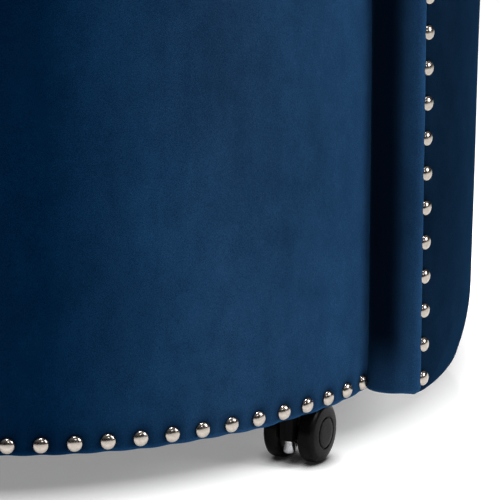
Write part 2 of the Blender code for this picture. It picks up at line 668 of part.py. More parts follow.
def housing_mesh():
    """Housing: boss round the stem and a plate between the wheels.  Local +X is the axle, -Y the trail."""
    plate = [(0, BOSS_Z0), (0, BOSS_Z1), (WEB_BACK, BOSS_Z1)]
    for a in (radians(degree) for degree in angles(75, -75, 18.75)):
        plate.append((CASTER_TRAIL + WEB_REACH * cos(a), WHEEL_R + WEB_REACH * sin(a)))
    plate.append((WEB_FRONT, BOSS_Z0))
    sections = [[Vector((x, -y, z)) for y, z in plate] for x in (-WEB_T / 2, WEB_T / 2)]
    web = loft("web", sections)
    boss = cylinder("boss", BOSS_R, BOSS_Z0, BOSS_Z1, 24)
    stem_hole = cylinder("hole", STEM_R + BORE_CLEARANCE, BOSS_Z0 - HOLE_REACH, BOSS_Z1 + HOLE_REACH, 16)
    axle_hole = cylinder("hole", AXLE_R + BORE_CLEARANCE, -WHEEL_R, WHEEL_R, 16)
    axle_hole.transform(Matrix.Translation((0, -CASTER_TRAIL, WHEEL_R)) @ Matrix.Rotation(pi / 2, 4, "Y"))
    return combined("caster_housing", web, ("UNION", boss), ("DIFFERENCE", stem_hole),
                    ("DIFFERENCE", axle_hole))


def wheel_mesh():
    """Wheel, outer side towards +X, with a blind bore for the axle and a shallow round cap recess.

    Its tread is faceted, and the flats, not the corners between them, are WHEEL_R from the axle.
    """
    x0, x1 = WHEEL_INNER_X, WHEEL_OUTER_X
    bore = AXLE_R + BORE_CLEARANCE
    tread = WHEEL_R / cos(pi / WHEEL_STEPS)
    profile = [(x1 - CAP_T, 0), (x1 - CAP_T, bore), (x0, bore), (x0, tread - TREAD_INNER),
               (x0 + TREAD_INNER, tread), (x1 - TREAD_OUTER, tread)]
    profile += [(x1 - inset, tread - drop) for inset, drop in WHEEL_RIM]
    profile += [(x1, CAP_R), (x1 - CAP_SET, CAP_R), (x1 - CAP_SET, 0)]
    return turned("caster_wheel", profile, WHEEL_STEPS)


def axle_mesh():
    end = WHEEL_OUTER_X - CAP_T - GAP
    return turned("caster_axle", [(-end, 0), (-end, AXLE_R), (end, AXLE_R), (end, 0)], 12)


def build_casters():
    """Four casters; each swivel part has its origin on the stem, each wheel on the axle."""
    stem, housing, wheel, axle = stem_mesh(), housing_mesh(), wheel_mesh(), axle_mesh()
    turn = radians(CASTER_HEADING + 90)
    back = Vector((cos(radians(CASTER_HEADING)), sin(radians(CASTER_HEADING)), 0)) * CASTER_TRAIL
    for corner, (x, y) in CASTERS.items():
        place = Vector((x, y, 0))
        hub = place + back + Vector((0, 0, WHEEL_R))
        add_object(f"caster_stem_{corner}", stem, steel, place)
        add_object(f"caster_housing_{corner}", housing, black, place, turn)
        add_object(f"caster_axle_{corner}", axle, steel, hub, turn)
        add_object(f"caster_wheel_a_{corner}", wheel, black, hub, turn)
        add_object(f"caster_wheel_b_{corner}", wheel, black, hub, turn + pi)


# ---------------------------------------------------------------- build
for old in list(bpy.data.objects):
    bpy.data.objects.remove(old)

velvet = material("velvet", (0.008, 0.030, 0.085), roughness=0.85)
cloth = material("dust_cloth", (0.02, 0.02, 0.02), roughness=0.95)
wood = material("wood", (0.55, 0.38, 0.22), roughness=0.6)
nickel = material("nickel", (0.60, 0.53, 0.46), metallic=1.0, roughness=0.18)
steel = material("steel", (0.62, 0.62, 0.63), metallic=1.0, roughness=0.3)
black = material("black_plastic", (0.012, 0.012, 0.013), roughness=0.3)

chair = bpy.data.objects.new("chair", None)
bpy.context.collection.objects.link(chair)
chair.location = (0, middle_y(), 0)

build_frame()
build_springs()
build_upholstery()
build_dust_cover()
build_nails()
build_casters()
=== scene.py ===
"""Looks of a velvet barrel armchair with nail trim, on four twin-wheel swivel casters.

Metres, +Z up.  The chair faces -Y, and right is +X.  Plan angles are measured about the barrel's
upright axis, from the front (0 degrees) towards the right (90 degrees).
"""
import json
from math import atan2, cos, degrees, hypot, pi, radians, sin

import bmesh
import bpy
import numpy as np
from mathutils import Matrix, Vector, noise
from mathutils.geometry import delaunay_2d_cdt


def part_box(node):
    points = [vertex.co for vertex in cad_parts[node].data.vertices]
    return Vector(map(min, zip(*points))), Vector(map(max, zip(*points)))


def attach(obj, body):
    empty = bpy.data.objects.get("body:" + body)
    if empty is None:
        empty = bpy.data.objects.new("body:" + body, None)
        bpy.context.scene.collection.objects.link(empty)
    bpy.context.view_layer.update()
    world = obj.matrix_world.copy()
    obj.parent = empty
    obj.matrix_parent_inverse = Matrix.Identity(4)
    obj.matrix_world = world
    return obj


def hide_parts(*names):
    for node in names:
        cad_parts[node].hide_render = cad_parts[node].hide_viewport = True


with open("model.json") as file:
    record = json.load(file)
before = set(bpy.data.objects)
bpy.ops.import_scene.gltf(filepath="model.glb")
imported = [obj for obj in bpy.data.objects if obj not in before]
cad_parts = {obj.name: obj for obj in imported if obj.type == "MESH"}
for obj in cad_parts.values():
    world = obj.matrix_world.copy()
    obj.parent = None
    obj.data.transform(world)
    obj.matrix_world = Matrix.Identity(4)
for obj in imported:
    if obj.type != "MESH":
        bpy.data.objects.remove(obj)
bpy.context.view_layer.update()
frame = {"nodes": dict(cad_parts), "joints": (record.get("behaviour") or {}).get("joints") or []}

BODY = "chair_body"

# ---------------------------------------------------------------- sizes shared with the frame
FRONT_R = 0.327                      # bowed seat front
AXIS_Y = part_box("front_panel")[0].y + FRONT_R
SKIRT_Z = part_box("front_panel")[0].z
WALL_R, WALL_FLARE = 0.3785, 0.0136  # barrel wall above its foot, and its outward lean
FOOT_TUCK, FOOT_TUCK_HEIGHT = 0.0100, 0.060
ARM_TOP, BACK_TOP = 0.610, 0.800
RISE_START, RISE_END = 74.0, 176.0
SEAT_TOP, SEAT_BASE = 0.470, 0.389
ROLL_ANGLE, ROLL_BEND = 59.0, 0.050
PANEL_FRONT, SIDE_SEAM = 57.2, 128.0
INNER_FRONT_R, LUMBAR_DEPTH, TOP_DEPTH = 0.326, 0.091, 0.020
ARM_ROLL_HEIGHT, BACK_ROLL_HEIGHT = 0.028, 0.032
WHEEL_R, CASTER_TRAIL = 0.025, 0.019
CORNERS = ("front_left", "front_right", "rear_left", "rear_right")

# ---------------------------------------------------------------- sizes of the soft goods
ROLL_R, ROLL_RADIUS = 0.3434, 0.0224  # upright roll on the arm's front
ROLL_BULGE = 0.0058                  # its fullness against the nail line
ROLL_TURN = degrees(ROLL_BEND / ROLL_R)
FRONT_SEAM_Z = 0.424                 # seam between the seat front and the seat
CREASE = 57.6                        # plan angle where the seat front disappears beside the roll
HEM = 0.005                          # rounding of the lower edges
NAIL_R, NAIL_H = 0.0063, 0.0042
NAIL_Z = SKIRT_Z + 0.0089
FRONT_NAIL_END, FRONT_NAIL_PITCH = 54.8, 0.0254
COLUMN_ANGLE, COLUMN_FOOT = 58.45, SKIRT_Z + 0.0128
SIDE_NAIL_PITCH, NAIL_DROP, NAIL_CORNER = 0.0278, 0.014, 0.040


# ================================================================ materials
def shader_material(name, **sockets):
    """New material; its sockets are set straight on the Principled shader."""
    mat = bpy.data.materials.new(name)
    mat.use_nodes = True
    shader = mat.node_tree.nodes["Principled BSDF"]
    for socket, value in sockets.items():
        shader.inputs[socket.replace("_", " ")].default_value = value
    return mat, mat.node_tree, shader


def add_node(tree, kind, **values):
    node = tree.nodes.new(kind)
    for key, value in values.items():
        if hasattr(node, key):
            setattr(node, key, value)
        else:
            node.inputs[key.replace("_", " ")].default_value = value
    return node


def noise_at(tree, scale, detail=3.0, stretch=(1, 1, 1), roughness=0.5):
    """Noise on object coordinates; scale is in features per metre."""
    place = add_node(tree, "ShaderNodeTexCoord")
    mapping = add_node(tree, "ShaderNodeMapping")
    mapping.inputs["Scale"].default_value = stretch
    texture = add_node(tree, "ShaderNodeTexNoise", Scale=scale, Detail=detail, Roughness=roughness)
    tree.links.new(place.outputs["Object"], mapping.inputs["Vector"])
    tree.links.new(mapping.outputs["Vector"], texture.inputs["Vector"])
    return texture.outputs["Fac"]


def ramp(tree, fac, stops):
    """Colour ramp from (position, colour) stops."""
    node = add_node(tree, "ShaderNodeValToRGB")
    elements = node.color_ramp.elements
    while len(elements) < len(stops):
        elements.new(0.5)
    for element, (position, colour) in zip(elements, stops):
        element.position = position
        element.color = (*colour, 1) if len(colour) == 3 else colour
    tree.links.new(fac, node.inputs["Fac"])
    return node.outputs["Color"]


def bumps(tree, shader, layers):
    """Chain of bumps from (height, strength, distance) layers."""
    normal = None
    for height, strength, distance in layers:
        node = add_node(tree, "ShaderNodeBump", Strength=strength, Distance=distance)
        tree.links.new(height, node.inputs["Height"])
        if normal is not None:
            tree.links.new(normal, node.inputs["Normal"])
        normal = node.outputs["Normal"]
    tree.links.new(normal, shader.inputs["Normal"])


def mix_colours(tree, fac, a, b, blend="MIX"):
    node = add_node(tree, "ShaderNodeMix", data_type="RGBA", blend_type=blend)
    for value, socket in ((fac, node.inputs[0]), (a, node.inputs[6]), (b, node.inputs[7])):
        if hasattr(value, "links"):
            tree.links.new(value, socket)
        else:
            socket.default_value = value
    return node.outputs[2]


def velvet(name, shade, sheen=0.16, middle=1.0):
    """Short-pile velvet: mottled where the nap lies two ways, with a fine pile and a soft sheen.

    Its vertex attribute adds painted shade, darkening it in seams, creases and round nails, and middle paints
    shade along the chair's centre line.
    """
    mat, tree, shader = shader_material(name, Roughness=0.9, Sheen_Weight=sheen, Sheen_Roughness=0.34,
                                        Specular_IOR_Level=0.0)
    shader.inputs["Sheen Tint"].default_value = (0.085, 0.37, 0.86, 1)
    drift = noise_at(tree, 6.5, 5.0, (1, 1, 0.6), 0.6)
    brushed = noise_at(tree, 60.0, 4.0, (1, 1, 0.7), 0.6)
    pile = noise_at(tree, 1300.0, 2.0)
    deep, light = (tuple(share * channel for channel in shade) for share in (0.72, 1.30))
    colour = ramp(tree, drift, [(0.32, deep), (0.68, light)])
    streaks = ramp(tree, brushed, [(0.30, (0.84, 0.87, 0.89)), (0.70, (1.14, 1.12, 1.10))])
    speckle = ramp(tree, pile, [(0.32, (0.66, 0.70, 0.74)), (0.70, (1.34, 1.28, 1.24))])
    colour = mix_colours(tree, 1.0, colour, streaks, "MULTIPLY")
    colour = mix_colours(tree, 1.0, colour, speckle, "MULTIPLY")
    # Painted shade: a dark band down the chair's centre line, strongest at the middle and gone by 0.15 m to
    # each side.
    if middle < 1:
        place = add_node(tree, "ShaderNodeTexCoord")
        split = add_node(tree, "ShaderNodeSeparateXYZ")
        away = add_node(tree, "ShaderNodeMath", operation="ABSOLUTE")
        tree.links.new(place.outputs["Object"], split.inputs["Vector"])
        tree.links.new(split.outputs["X"], away.inputs[0])
        centre_painted_shade = ramp(tree, away.outputs[0], [(0.015, (0.16 * middle, 0.75 * middle, middle)),
                                            (0.085, (0.55, 0.76, 0.82)), (0.15, (1, 1, 1))])
        colour = mix_colours(tree, 1.0, colour, centre_painted_shade, "MULTIPLY")
    # Painted shade: the vertex attribute blends the colour towards near black in seams, creases and round
    # nails.
    painted_shade = add_node(tree, "ShaderNodeAttribute", attribute_name="painted_shade")
    colour = mix_colours(tree, painted_shade.outputs["Fac"], colour, (0.0004, 0.0012, 0.0034, 1))
    tree.links.new(colour, shader.inputs["Base Color"])
    bumps(tree, shader, [(drift, 0.15, 0.004), (brushed, 0.12, 0.0008), (pile, 0.45, 0.0004)])
    return mat


def polished_nickel():
    """Nail heads: warm polished nickel with faint scuffs."""
    mat, tree, shader = shader_material("polished_nickel", Metallic=1.0)
    scuff = noise_at(tree, 420.0, 4.0)
    tree.links.new(ramp(tree, scuff, [(0.3, (0.27, 0.24, 0.212)), (0.7, (0.35, 0.314, 0.28))]),
                   shader.inputs["Base Color"])
    tree.links.new(ramp(tree, scuff, [(0.3, (0.17, 0.17, 0.17)), (0.8, (0.30, 0.30, 0.30))]),
                   shader.inputs["Roughness"])
    bumps(tree, shader, [(noise_at(tree, 90.0, 2.0), 0.05, 0.0006)])
    return mat


def black_nylon(name, gloss):
    """Moulded black nylon with a faint moulding texture and dust in its grain."""
    mat, tree, shader = shader_material(name, Specular_IOR_Level=0.04)
    grain = noise_at(tree, 900.0, 3.0)
    handled = noise_at(tree, 70.0, 3.0)
    tree.links.new(ramp(tree, handled, [(0.35, (0.0016, 0.0015, 0.0014)), (0.75, (0.0034, 0.0030, 0.0028))]),
                   shader.inputs["Base Color"])
    low, high = gloss, gloss + 0.14
    tree.links.new(ramp(tree, handled, [(0.3, (low,) * 3), (0.75, (high,) * 3)]), shader.inputs["Roughness"])
    bumps(tree, shader, [(grain, 0.12, 0.0002)])
    return mat


def zinc_steel(name, colour, rough):
    """Plated steel with fine turning marks round its upright axis."""
    mat, tree, shader = shader_material(name, Metallic=1.0)
    marks = noise_at(tree, 500.0, 3.0, (1, 1, 9))
    bright = tuple(min(1.0, c * 1.18) for c in colour)
    tree.links.new(ramp(tree, marks, [(0.3, colour), (0.7, bright)]), shader.inputs["Base Color"])
    tree.links.new(ramp(tree, marks, [(0.3, (rough,) * 3), (0.7, (rough + 0.15,) * 3)]),
                   shader.inputs["Roughness"])
    bumps(tree, shader, [(marks, 0.15, 0.0002)])
    return mat


def sawn_wood():
    """Frame timber: long grain, growth bands and a dry surface."""
    mat, tree, shader = shader_material("sawn_wood", Roughness=0.62)
    bands = noise_at(tree, 26.0, 5.0, (1, 1, 4), 0.6)
    fibre = noise_at(tree, 380.0, 4.0, (1, 1, 6))
    colour = ramp(tree, bands, [(0.30, (0.42, 0.26, 0.13)), (0.55, (0.60, 0.41, 0.23)),
                                (0.75, (0.68, 0.50, 0.30))])
    shade = ramp(tree, fibre, [(0.3, (0.80, 0.80, 0.80)), (0.7, (1.05, 1.05, 1.05))])
    tree.links.new(mix_colours(tree, 1.0, colour, shade, "MULTIPLY"), shader.inputs["Base Color"])
    bumps(tree, shader, [(fibre, 0.3, 0.0004)])
    return mat


def dust_cloth():
    """Black non-woven cloth: compacted fibres with a dimpled bonding pattern."""
    mat, tree, shader = shader_material("dust_cloth", Roughness=0.95, Sheen_Weight=0.15)
    place = add_node(tree, "ShaderNodeTexCoord")
    dimples = add_node(tree, "ShaderNodeTexVoronoi", Scale=420.0, Randomness=0.15)
    tree.links.new(place.outputs["Object"], dimples.inputs["Vector"])
    fibres = noise_at(tree, 650.0, 5.0, (1, 3, 1), 0.7)
    tree.links.new(ramp(tree, fibres, [(0.3, (0.010, 0.010, 0.011)), (0.75, (0.034, 0.034, 0.036))]),
                   shader.inputs["Base Color"])
    bumps(tree, shader, [(dimples.outputs["Distance"], 0.4, 0.0003), (fibres, 0.3, 0.0003)])
    return mat


# ================================================================ mesh tools
def polar(angle, r, z):
    """Points at plan angles in degrees, distances from the barrel's axis, and heights."""
    a = np.radians(angle)
    return np.stack(np.broadcast_arrays(r * np.sin(a), AXIS_Y - r * np.cos(a), z), -1)


def new_piece(name, verts, faces, mat):
    mesh = bpy.data.meshes.new(name)
    mesh.from_pydata([tuple(v) for v in np.asarray(verts, float)], [], faces)
    bm = bmesh.new()
    bm.from_mesh(mesh)
    bmesh.ops.recalc_face_normals(bm, faces=bm.faces)
    bm.to_mesh(mesh)
    bm.free()
    mesh.materials.append(mat)
    mesh.shade_smooth()
    piece = bpy.data.objects.new(name, mesh)
    bpy.context.scene.collection.objects.link(piece)
    return piece


def loft(name, sections, mat):
    """Closed skin through matching closed outlines, each end closed by a fan."""
    sections = np.asarray(sections, float)
    rows, count = sections.shape[:2]
    verts = sections.reshape(-1, 3)
    i, j = np.meshgrid(np.arange(rows - 1), np.arange(count), indexing="ij")
    k = (j + 1) % count
    quads = np.stack([i * count + j, i * count + k, (i + 1) * count + k, (i + 1) * count + j], -1)
    faces = quads.reshape(-1, 4).tolist()
    ends = [sections[0].mean(0), sections[-1].mean(0)]
    verts = np.vstack([verts, ends])
    for centre, base in ((rows * count, 0), (rows * count + 1, (rows - 1) * count)):
        faces += [[base + n, base + (n + 1) % count, centre] for n in range(count)]
    return new_piece(name, verts, faces, mat)


def turned(name, profile, steps, mat, place=Matrix.Identity(4)):
    """Turned solid about local X from (x, radius) points, both ends on the axis, then put in its place."""
    verts, rings = [], []
    for x, radius in profile:
        ring = 1 if radius == 0 else steps
        rings.append(list(range(len(verts), len(verts) + ring)))
        for n in range(ring):
            a = 2 * pi * n / steps
            verts.append(place @ Vector((x, radius * sin(a), radius * cos(a))))
    faces = []
    for low, high in zip(rings, rings[1:]):
        for n in range(steps):
            m = (n + 1) % steps
            ring = [low[n % len(low)], low[m % len(low)], high[m % len(high)], high[n % len(high)]]
            faces.append(list(dict.fromkeys(ring)))
    return new_piece(name, verts, faces, mat)


def rounded(points, radius, steps=5):
    """Profile points with each inner corner replaced by a small arc-like curve."""
    result = [points[0]]
    for before, here, after in zip(points, points[1:], points[2:]):
        here_v = Vector(here)
        back, ahead = Vector(before) - here_v, Vector(after) - here_v
        cut = min(radius, 0.45 * back.length, 0.45 * ahead.length)
        a, b = here_v + back.normalized() * cut, here_v + ahead.normalized() * cut
        for n in range(steps + 1):
            t = n / steps
            result.append(tuple(a.lerp(here_v, t).lerp(here_v.lerp(b, t), t)))
    result.append(points[-1])
    return result


def fine_noise(points, scale, seed):
    """Smooth noise, -1 to 1, at an array of points."""
    shift = Vector((seed * 7.3, seed * 3.1, seed * 1.7))
    flat = points.reshape(-1, 3)
    values = [noise.noise(Vector(p) * scale + shift) for p in flat]
    return np.array(values).reshape(points.shape[:-1])


def store_painted_shade(piece, amount):
    """Store painted shade, 0 to 1, at each vertex; the rest of the piece is 0."""
    values = np.zeros(len(piece.data.vertices))
    values[:amount.size] = np.clip(amount.ravel(), 0, 1)
    piece.data.attributes.new("painted_shade", "FLOAT", "POINT").data.foreach_set("value", values)


def settle(piece, body, slot, *nodes):
    """Hand a finished piece to the frame: the body it rides on, and the nodes it stands for, which it hides;
    slot, its finish, is not used.
    """
    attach(piece, body)
    if nodes:
        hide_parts(*nodes)


# ================================================================ the chair's shape
def smooth_step(t):
    t = np.clip(t, 0, 1)
    return t * t * (3 - 2 * t)


def side_angle(angle):
    """The same place on the right half, 0 to 180 degrees."""
    angle = np.abs(angle)
    return np.where(angle <= 180, angle, 360 - angle)


def rise(angle):
    return smooth_step((side_angle(angle) - RISE_START) / (RISE_END - RISE_START))


def wall_r(angle, z):
    """Outside of the barrel: a slight flare, drawn in at its foot and at the front nail line."""
    r = WALL_R + WALL_FLARE * (z - SKIRT_Z - FOOT_TUCK_HEIGHT)
    foot = FOOT_TUCK * np.maximum(0, 1 - (z - SKIRT_Z) / FOOT_TUCK_HEIGHT) ** 2.2
    front = (r - 0.3681) * np.exp(-((side_angle(angle) - PANEL_FRONT) / 5.0) ** 2)
    return r - np.maximum(foot, front)


def inner_r(angle, z):
    """Inside of the arms and back: deepest at the middle of the back, and raked."""
    t = np.maximum(0, (side_angle(angle) - ROLL_ANGLE) / (180 - ROLL_ANGLE))
    lean = np.clip((z - 0.460) / (BACK_TOP - 0.040 - 0.460), 0, 1)
    depth = LUMBAR_DEPTH + (TOP_DEPTH - LUMBAR_DEPTH) * lean
    return INNER_FRONT_R - depth * np.sin(pi / 2 * t) ** 1.35


def roll_half_height(angle):
    return ARM_ROLL_HEIGHT + (BACK_ROLL_HEIGHT - ARM_ROLL_HEIGHT) * rise(angle)


def roll_centre_z(angle):
    return ARM_TOP + (BACK_TOP - ARM_TOP) * rise(angle) - roll_half_height(angle)


# ================================================================ seat
def nail_angles():
    """Plan angles of the nails along the seat front, set out from the right end."""
    step = degrees(FRONT_NAIL_PITCH / FRONT_R)
    return [FRONT_NAIL_END - step * n for n in range(int((FRONT_NAIL_END + CREASE - 3.2) / step) + 1)]


def build_seat_front(mat):
    """Bowed front panel: taut, rounded under at the hem, dimpled by its nails, dipping into the creases."""
    angle = np.linspace(-CREASE - 1.6, CREASE + 1.6, 331)
    low = np.arange(SKIRT_Z + HEM, SKIRT_Z + 0.040, 0.0019)
    high = np.linspace(SKIRT_Z + 0.040, FRONT_SEAM_Z - 0.004, 46)
    z = np.concatenate([low, high])
    a, zz = np.meshgrid(angle, z, indexing="ij")
    height = (zz - SKIRT_Z) / (FRONT_SEAM_Z - SKIRT_Z)
    r = FRONT_R + 0.0012 * np.sin(pi * np.clip(height, 0, 1))
    # Painted shade towards each crease beside the rolls, and round each nail dimple.
    painted_shade = 0.9 * np.clip((np.abs(a) - CREASE + 1.6) / 2.4, 0, 1)
    for nail in nail_angles():
        near = ((a - nail) * radians(1) * FRONT_R) ** 2 + (zz - NAIL_Z) ** 2
        r -= 0.0016 * np.exp(-near / (2 * 0.0060 ** 2))
        painted_shade = np.maximum(painted_shade, 0.80 * np.exp(-near / (2 * 0.0066 ** 2)))
    r += 0.0005 * fine_noise(polar(a, r, zz), 9.0, 1)
    r -= 0.0026 * np.clip((zz - FRONT_SEAM_Z + 0.012) / 0.012, 0, 1) ** 2
    dive = 0.016 * np.clip((np.abs(a) - CREASE + 2.0) / 3.6, 0, 1) ** 2.4
    r -= dive
    pull = 0.0005 * np.clip(1.6 * fine_noise(polar(angle, r[:, 0], SKIRT_Z), 26.0, 4), -1, 1) - 0.0008
    for nail in nail_angles():
        pull += 0.0003 * np.exp(-((angle - nail) * radians(1) * FRONT_R / 0.006) ** 2)
    outer = polar(a, r, zz + pull[:, None] * (1 - smooth_step((zz - z[0]) / 0.012)))
    turn = np.linspace(0, pi / 2, 5)
    hem = [polar(angle, r[:, 0] - HEM * (1 - cos(t)), z[0] - HEM * sin(t) + pull) for t in turn[1:]]
    under = [polar(angle, r[:, 0] - d, SKIRT_Z + u + share * pull)
             for d, u, share in ((0.010, 0.0001, 0.8), (0.016, 0.0003, 0.4), (0.0265, 0.0006, 0))]
    back = [polar(angle, r[:, 0] - d, zb) for d, zb in
            ((0.0265, SKIRT_Z + 0.0012), (0.009, SKIRT_Z + 0.0015), (0.0085, SKIRT_Z + 0.006))]
    back += [polar(angle, r[:, 0] - 0.0085, zb)
             for zb in np.linspace(SKIRT_Z + 0.05, FRONT_SEAM_Z - 0.002, 8)]
    top = [polar(angle, r[:, -1] - d, FRONT_SEAM_Z) for d in (0.0060, 0.0015)]
    loop = [outer[:, n] for n in range(outer.shape[1])] + top[::-1] + back[::-1] + under[::-1] + hem[::-1]
    piece = loft("seat_front", np.stack(loop, 1), mat)
    store_painted_shade(piece, np.hstack([painted_shade, np.zeros((len(angle), len(loop) - len(z)))]))
    settle(piece, BODY, "velvet", "front_panel")
    return piece


def seat_edge(angle):
    """Plan radius of the seat pad: the bow, drawn in beside the arm rolls, then just inside the arms."""
    a = side_angle(angle)
    beside_roll = 0.3175
    bow = FRONT_R + (beside_roll - FRONT_R) * smooth_step((a - 53.0) / 4.5)
    inside = inner_r(a, SEAT_BASE) - 0.001
    return np.where(a < 61, bow, beside_roll + (inside - beside_roll) * smooth_step((a - 61) / 6.0))


def build_seat_pad(mat):
    """Crowned tight seat; its underside is flat and its edge sinks between the arms and back."""
    angle = np.linspace(-180, 180, 241)[:-1]
    edge = seat_edge(angle)
    front = 1 - smooth_step((side_angle(angle) - 50) / 14)
    side_low = SEAT_BASE + (FRONT_SEAM_Z - SEAT_BASE) * front
    rows = []
    for share in (0.30, 0.55, 0.86):
        rows.append(polar(angle, edge * share, SEAT_BASE))
    rows.append(polar(angle, edge - 0.012, side_low))
    for t in np.linspace(0, 1, 12):
        z = side_low + (SEAT_TOP - 0.030 - side_low) * t
        bulge = 0.004 * sin(pi * t) - 0.003 * (1 - t) ** 4
        rows.append(polar(angle, edge + bulge - 0.003, z))
    for t in np.linspace(0.08, 1, 26):
        turn = t * pi / 2
        share = 1 - 0.16 * (1 - cos(turn)) if t < 1 else 0.84
        z = SEAT_TOP - 0.030 + 0.022 * sin(turn)
        rows.append(polar(angle, (edge - 0.003) * share, z + 0 * edge))
    for share in np.linspace(0.80, 0.06, 22):
        crown = 0.008 * (1 - (share / 0.84) ** 2)
        rows.append(polar(angle, (edge - 0.003) * share, SEAT_TOP - 0.008 + crown + 0 * edge))
    piece = loft("seat_pad", rows, mat)
    return piece


def build_piping(mat):
    """Covered cord sewn into the seam round the top of the seat front."""
    angle = np.linspace(-56.2, 56.2, 260)
    rows = []
    for a in angle:
        sink = 0.010 * float(np.clip((abs(a) - 52.5) / 3.7, 0, 1)) ** 2
        centre = polar(a, FRONT_R - 0.0012 - sink, FRONT_SEAM_Z)
        out = (polar(a, 1.0, 0) - polar(a, 0.0, 0))
        ring = [centre + 0.0027 * (cos(t) * out + sin(t) * np.array((0, 0, 1)))
                for t in np.linspace(0, 2 * pi, 13)[:-1]]
        rows.append(ring)
    piece = loft("seat_piping", rows, mat)
    settle(piece, BODY, "velvet")


# ================================================================ arms and back
def roll_ring(angle, r, z, half_width, half_height, tilt, sides=52, square=2.25):
    """Rounded section of a roll; tilt is 0 where it stands upright and 1 where it lies on top."""
    sign = -1 if angle < 0 or angle > 180 else 1
    centre = polar(angle, r, z)
    radial = polar(angle, 1.0, 0.0) - polar(angle, 0.0, 0.0)
    forward = -sign * (polar(angle + 90, 1.0, 0.0) - polar(angle + 90, 0.0, 0.0))
    across = forward * cos(pi / 2 * tilt) + np.array((0, 0, sin(pi / 2 * tilt)))
    ring = []
    for n in range(sides):
        t = 2 * pi * n / sides
        c, s = cos(t), sin(t)
        x = half_width * abs(c) ** (2 / square) * (1 if c > 0 else -1)
        y = half_height * abs(s) ** (2 / square) * (1 if s > 0 else -1)
        ring.append(centre + x * radial + y * across)
    return ring


def roll_outside(angle, z):
    return float(wall_r(angle, z - roll_half_height(angle))) - 0.0012


def top_ring(angle, seam=0.0):
    """Section of the padded top edge, drawn in by a share where it meets a seam."""
    z = float(roll_centre_z(angle))
    inside = float(inner_r(angle, z)) - 0.001
    outside = roll_outside(angle, z)
    half = (outside - inside) / 2 * (1 - 0.05 * seam)
    height = float(roll_half_height(angle)) * (1 - 0.09 * seam)
    return roll_ring(angle, (inside + outside) / 2, z - 0.0006, half, height, 1)


def build_arm_roll(side, sign, mat):
    """Roll that stands on the arm's front and bends over into the arm's padded top edge."""
    rows = []
    z_top = ARM_TOP - ARM_ROLL_HEIGHT - ROLL_BEND
    for z, tuck in ((0.0, 0.0110), (0.0001, 0.0060), (0.0008, 0.0030), (0.0020, 0.0013), (0.0036, 0.0004)):
        rows.append(roll_ring(sign * ROLL_ANGLE, ROLL_R - tuck, SKIRT_Z + z, ROLL_RADIUS - tuck,
                              ROLL_RADIUS - tuck, 0))
    for z in np.linspace(SKIRT_Z + 0.0060, z_top, 120):
        rows.append(roll_ring(sign * ROLL_ANGLE, ROLL_R, z, ROLL_RADIUS, ROLL_RADIUS, 0))
    first = ROLL_ANGLE + ROLL_TURN
    z_end = float(roll_centre_z(first))
    steps = 26
    for n in range(1, steps):
        t = n / steps
        bend = pi / 2 * t
        angle = ROLL_ANGLE + ROLL_TURN * (1 - cos(bend))
        inside = (1 - t) * (ROLL_R - ROLL_RADIUS) + t * float(inner_r(first, z_end))
        outside = (1 - t) * (ROLL_R + ROLL_RADIUS) + t * roll_outside(angle, z_end)
        height = ROLL_RADIUS + (ARM_ROLL_HEIGHT - ROLL_RADIUS) * t
        rows.append(roll_ring(sign * angle, (inside + outside) / 2, z_end - ROLL_BEND * (1 - sin(bend)),
                              (outside - inside) / 2, height, t))
    for a in np.linspace(first, SIDE_SEAM, 90):
        rows.append(top_ring(sign * a, float(np.clip((a - SIDE_SEAM + 1.4) / 1.4, 0, 1)) ** 2))
    rows = np.array(rows)
    turn = np.degrees(2 * pi * np.arange(rows.shape[1]) / rows.shape[1])
    # Painted shade on the roll's side that faces the crease, kept to the upright part and lighter near its
    # foot.
    crease_painted_shade = 0.95 * smooth_step((turn - 22) / 62) ** 0.8 * smooth_step((235 - turn) / 30)
    height = rows[:, :, 2].mean(1)
    upright = 1 - smooth_step((height - z_top) / (1.2 * ROLL_BEND))
    full = np.exp(-((turn - 23) / 14) ** 2) + np.exp(-((turn - 383) / 14) ** 2)
    middle = rows.mean(1, keepdims=True)
    out = (rows - middle) / np.linalg.norm(rows - middle, axis=2, keepdims=True)
    rows += ROLL_BULGE * (upright[:, None] * full[None, :])[:, :, None] * out
    rows += 0.0006 * (upright * fine_noise(middle[:, 0], 16.0, 3 + sign))[:, None, None] * out
    piece = loft(f"padded_arm_edge_{side}", rows, mat)
    low = 0.35 + 0.65 * smooth_step((height - SKIRT_Z - 0.004) / 0.05)
    store_painted_shade(piece, (upright * low)[:, None] * crease_painted_shade[None, :])
    settle(piece, BODY, "velvet", f"arm_roll_{side}")


def build_back_roll(mat):
    rows = []
    for a in np.linspace(SIDE_SEAM, 360 - SIDE_SEAM, 150):
        from_seam = min(a - SIDE_SEAM, 360 - SIDE_SEAM - a)
        rows.append(top_ring(a, max(0.0, 1 - from_seam / 1.4) ** 2))
    piece = loft("padded_back_edge", rows, mat)
    settle(piece, BODY, "velvet", "back_roll")


def panel_top(angle):
    """Upper edge of the outside panel, under the overhang of the padded edge."""
    past = (side_angle(angle) - PANEL_FRONT) / (ROLL_ANGLE + ROLL_TURN - PANEL_FRONT)
    bend = np.sqrt(np.clip(1 - (1 - np.clip(past, 0, 1)) ** 2, 0, 1))
    first = ROLL_ANGLE + ROLL_TURN
    return np.where(past >= 1, roll_centre_z(angle), roll_centre_z(first) - ROLL_BEND * (1 - bend)) - 0.004


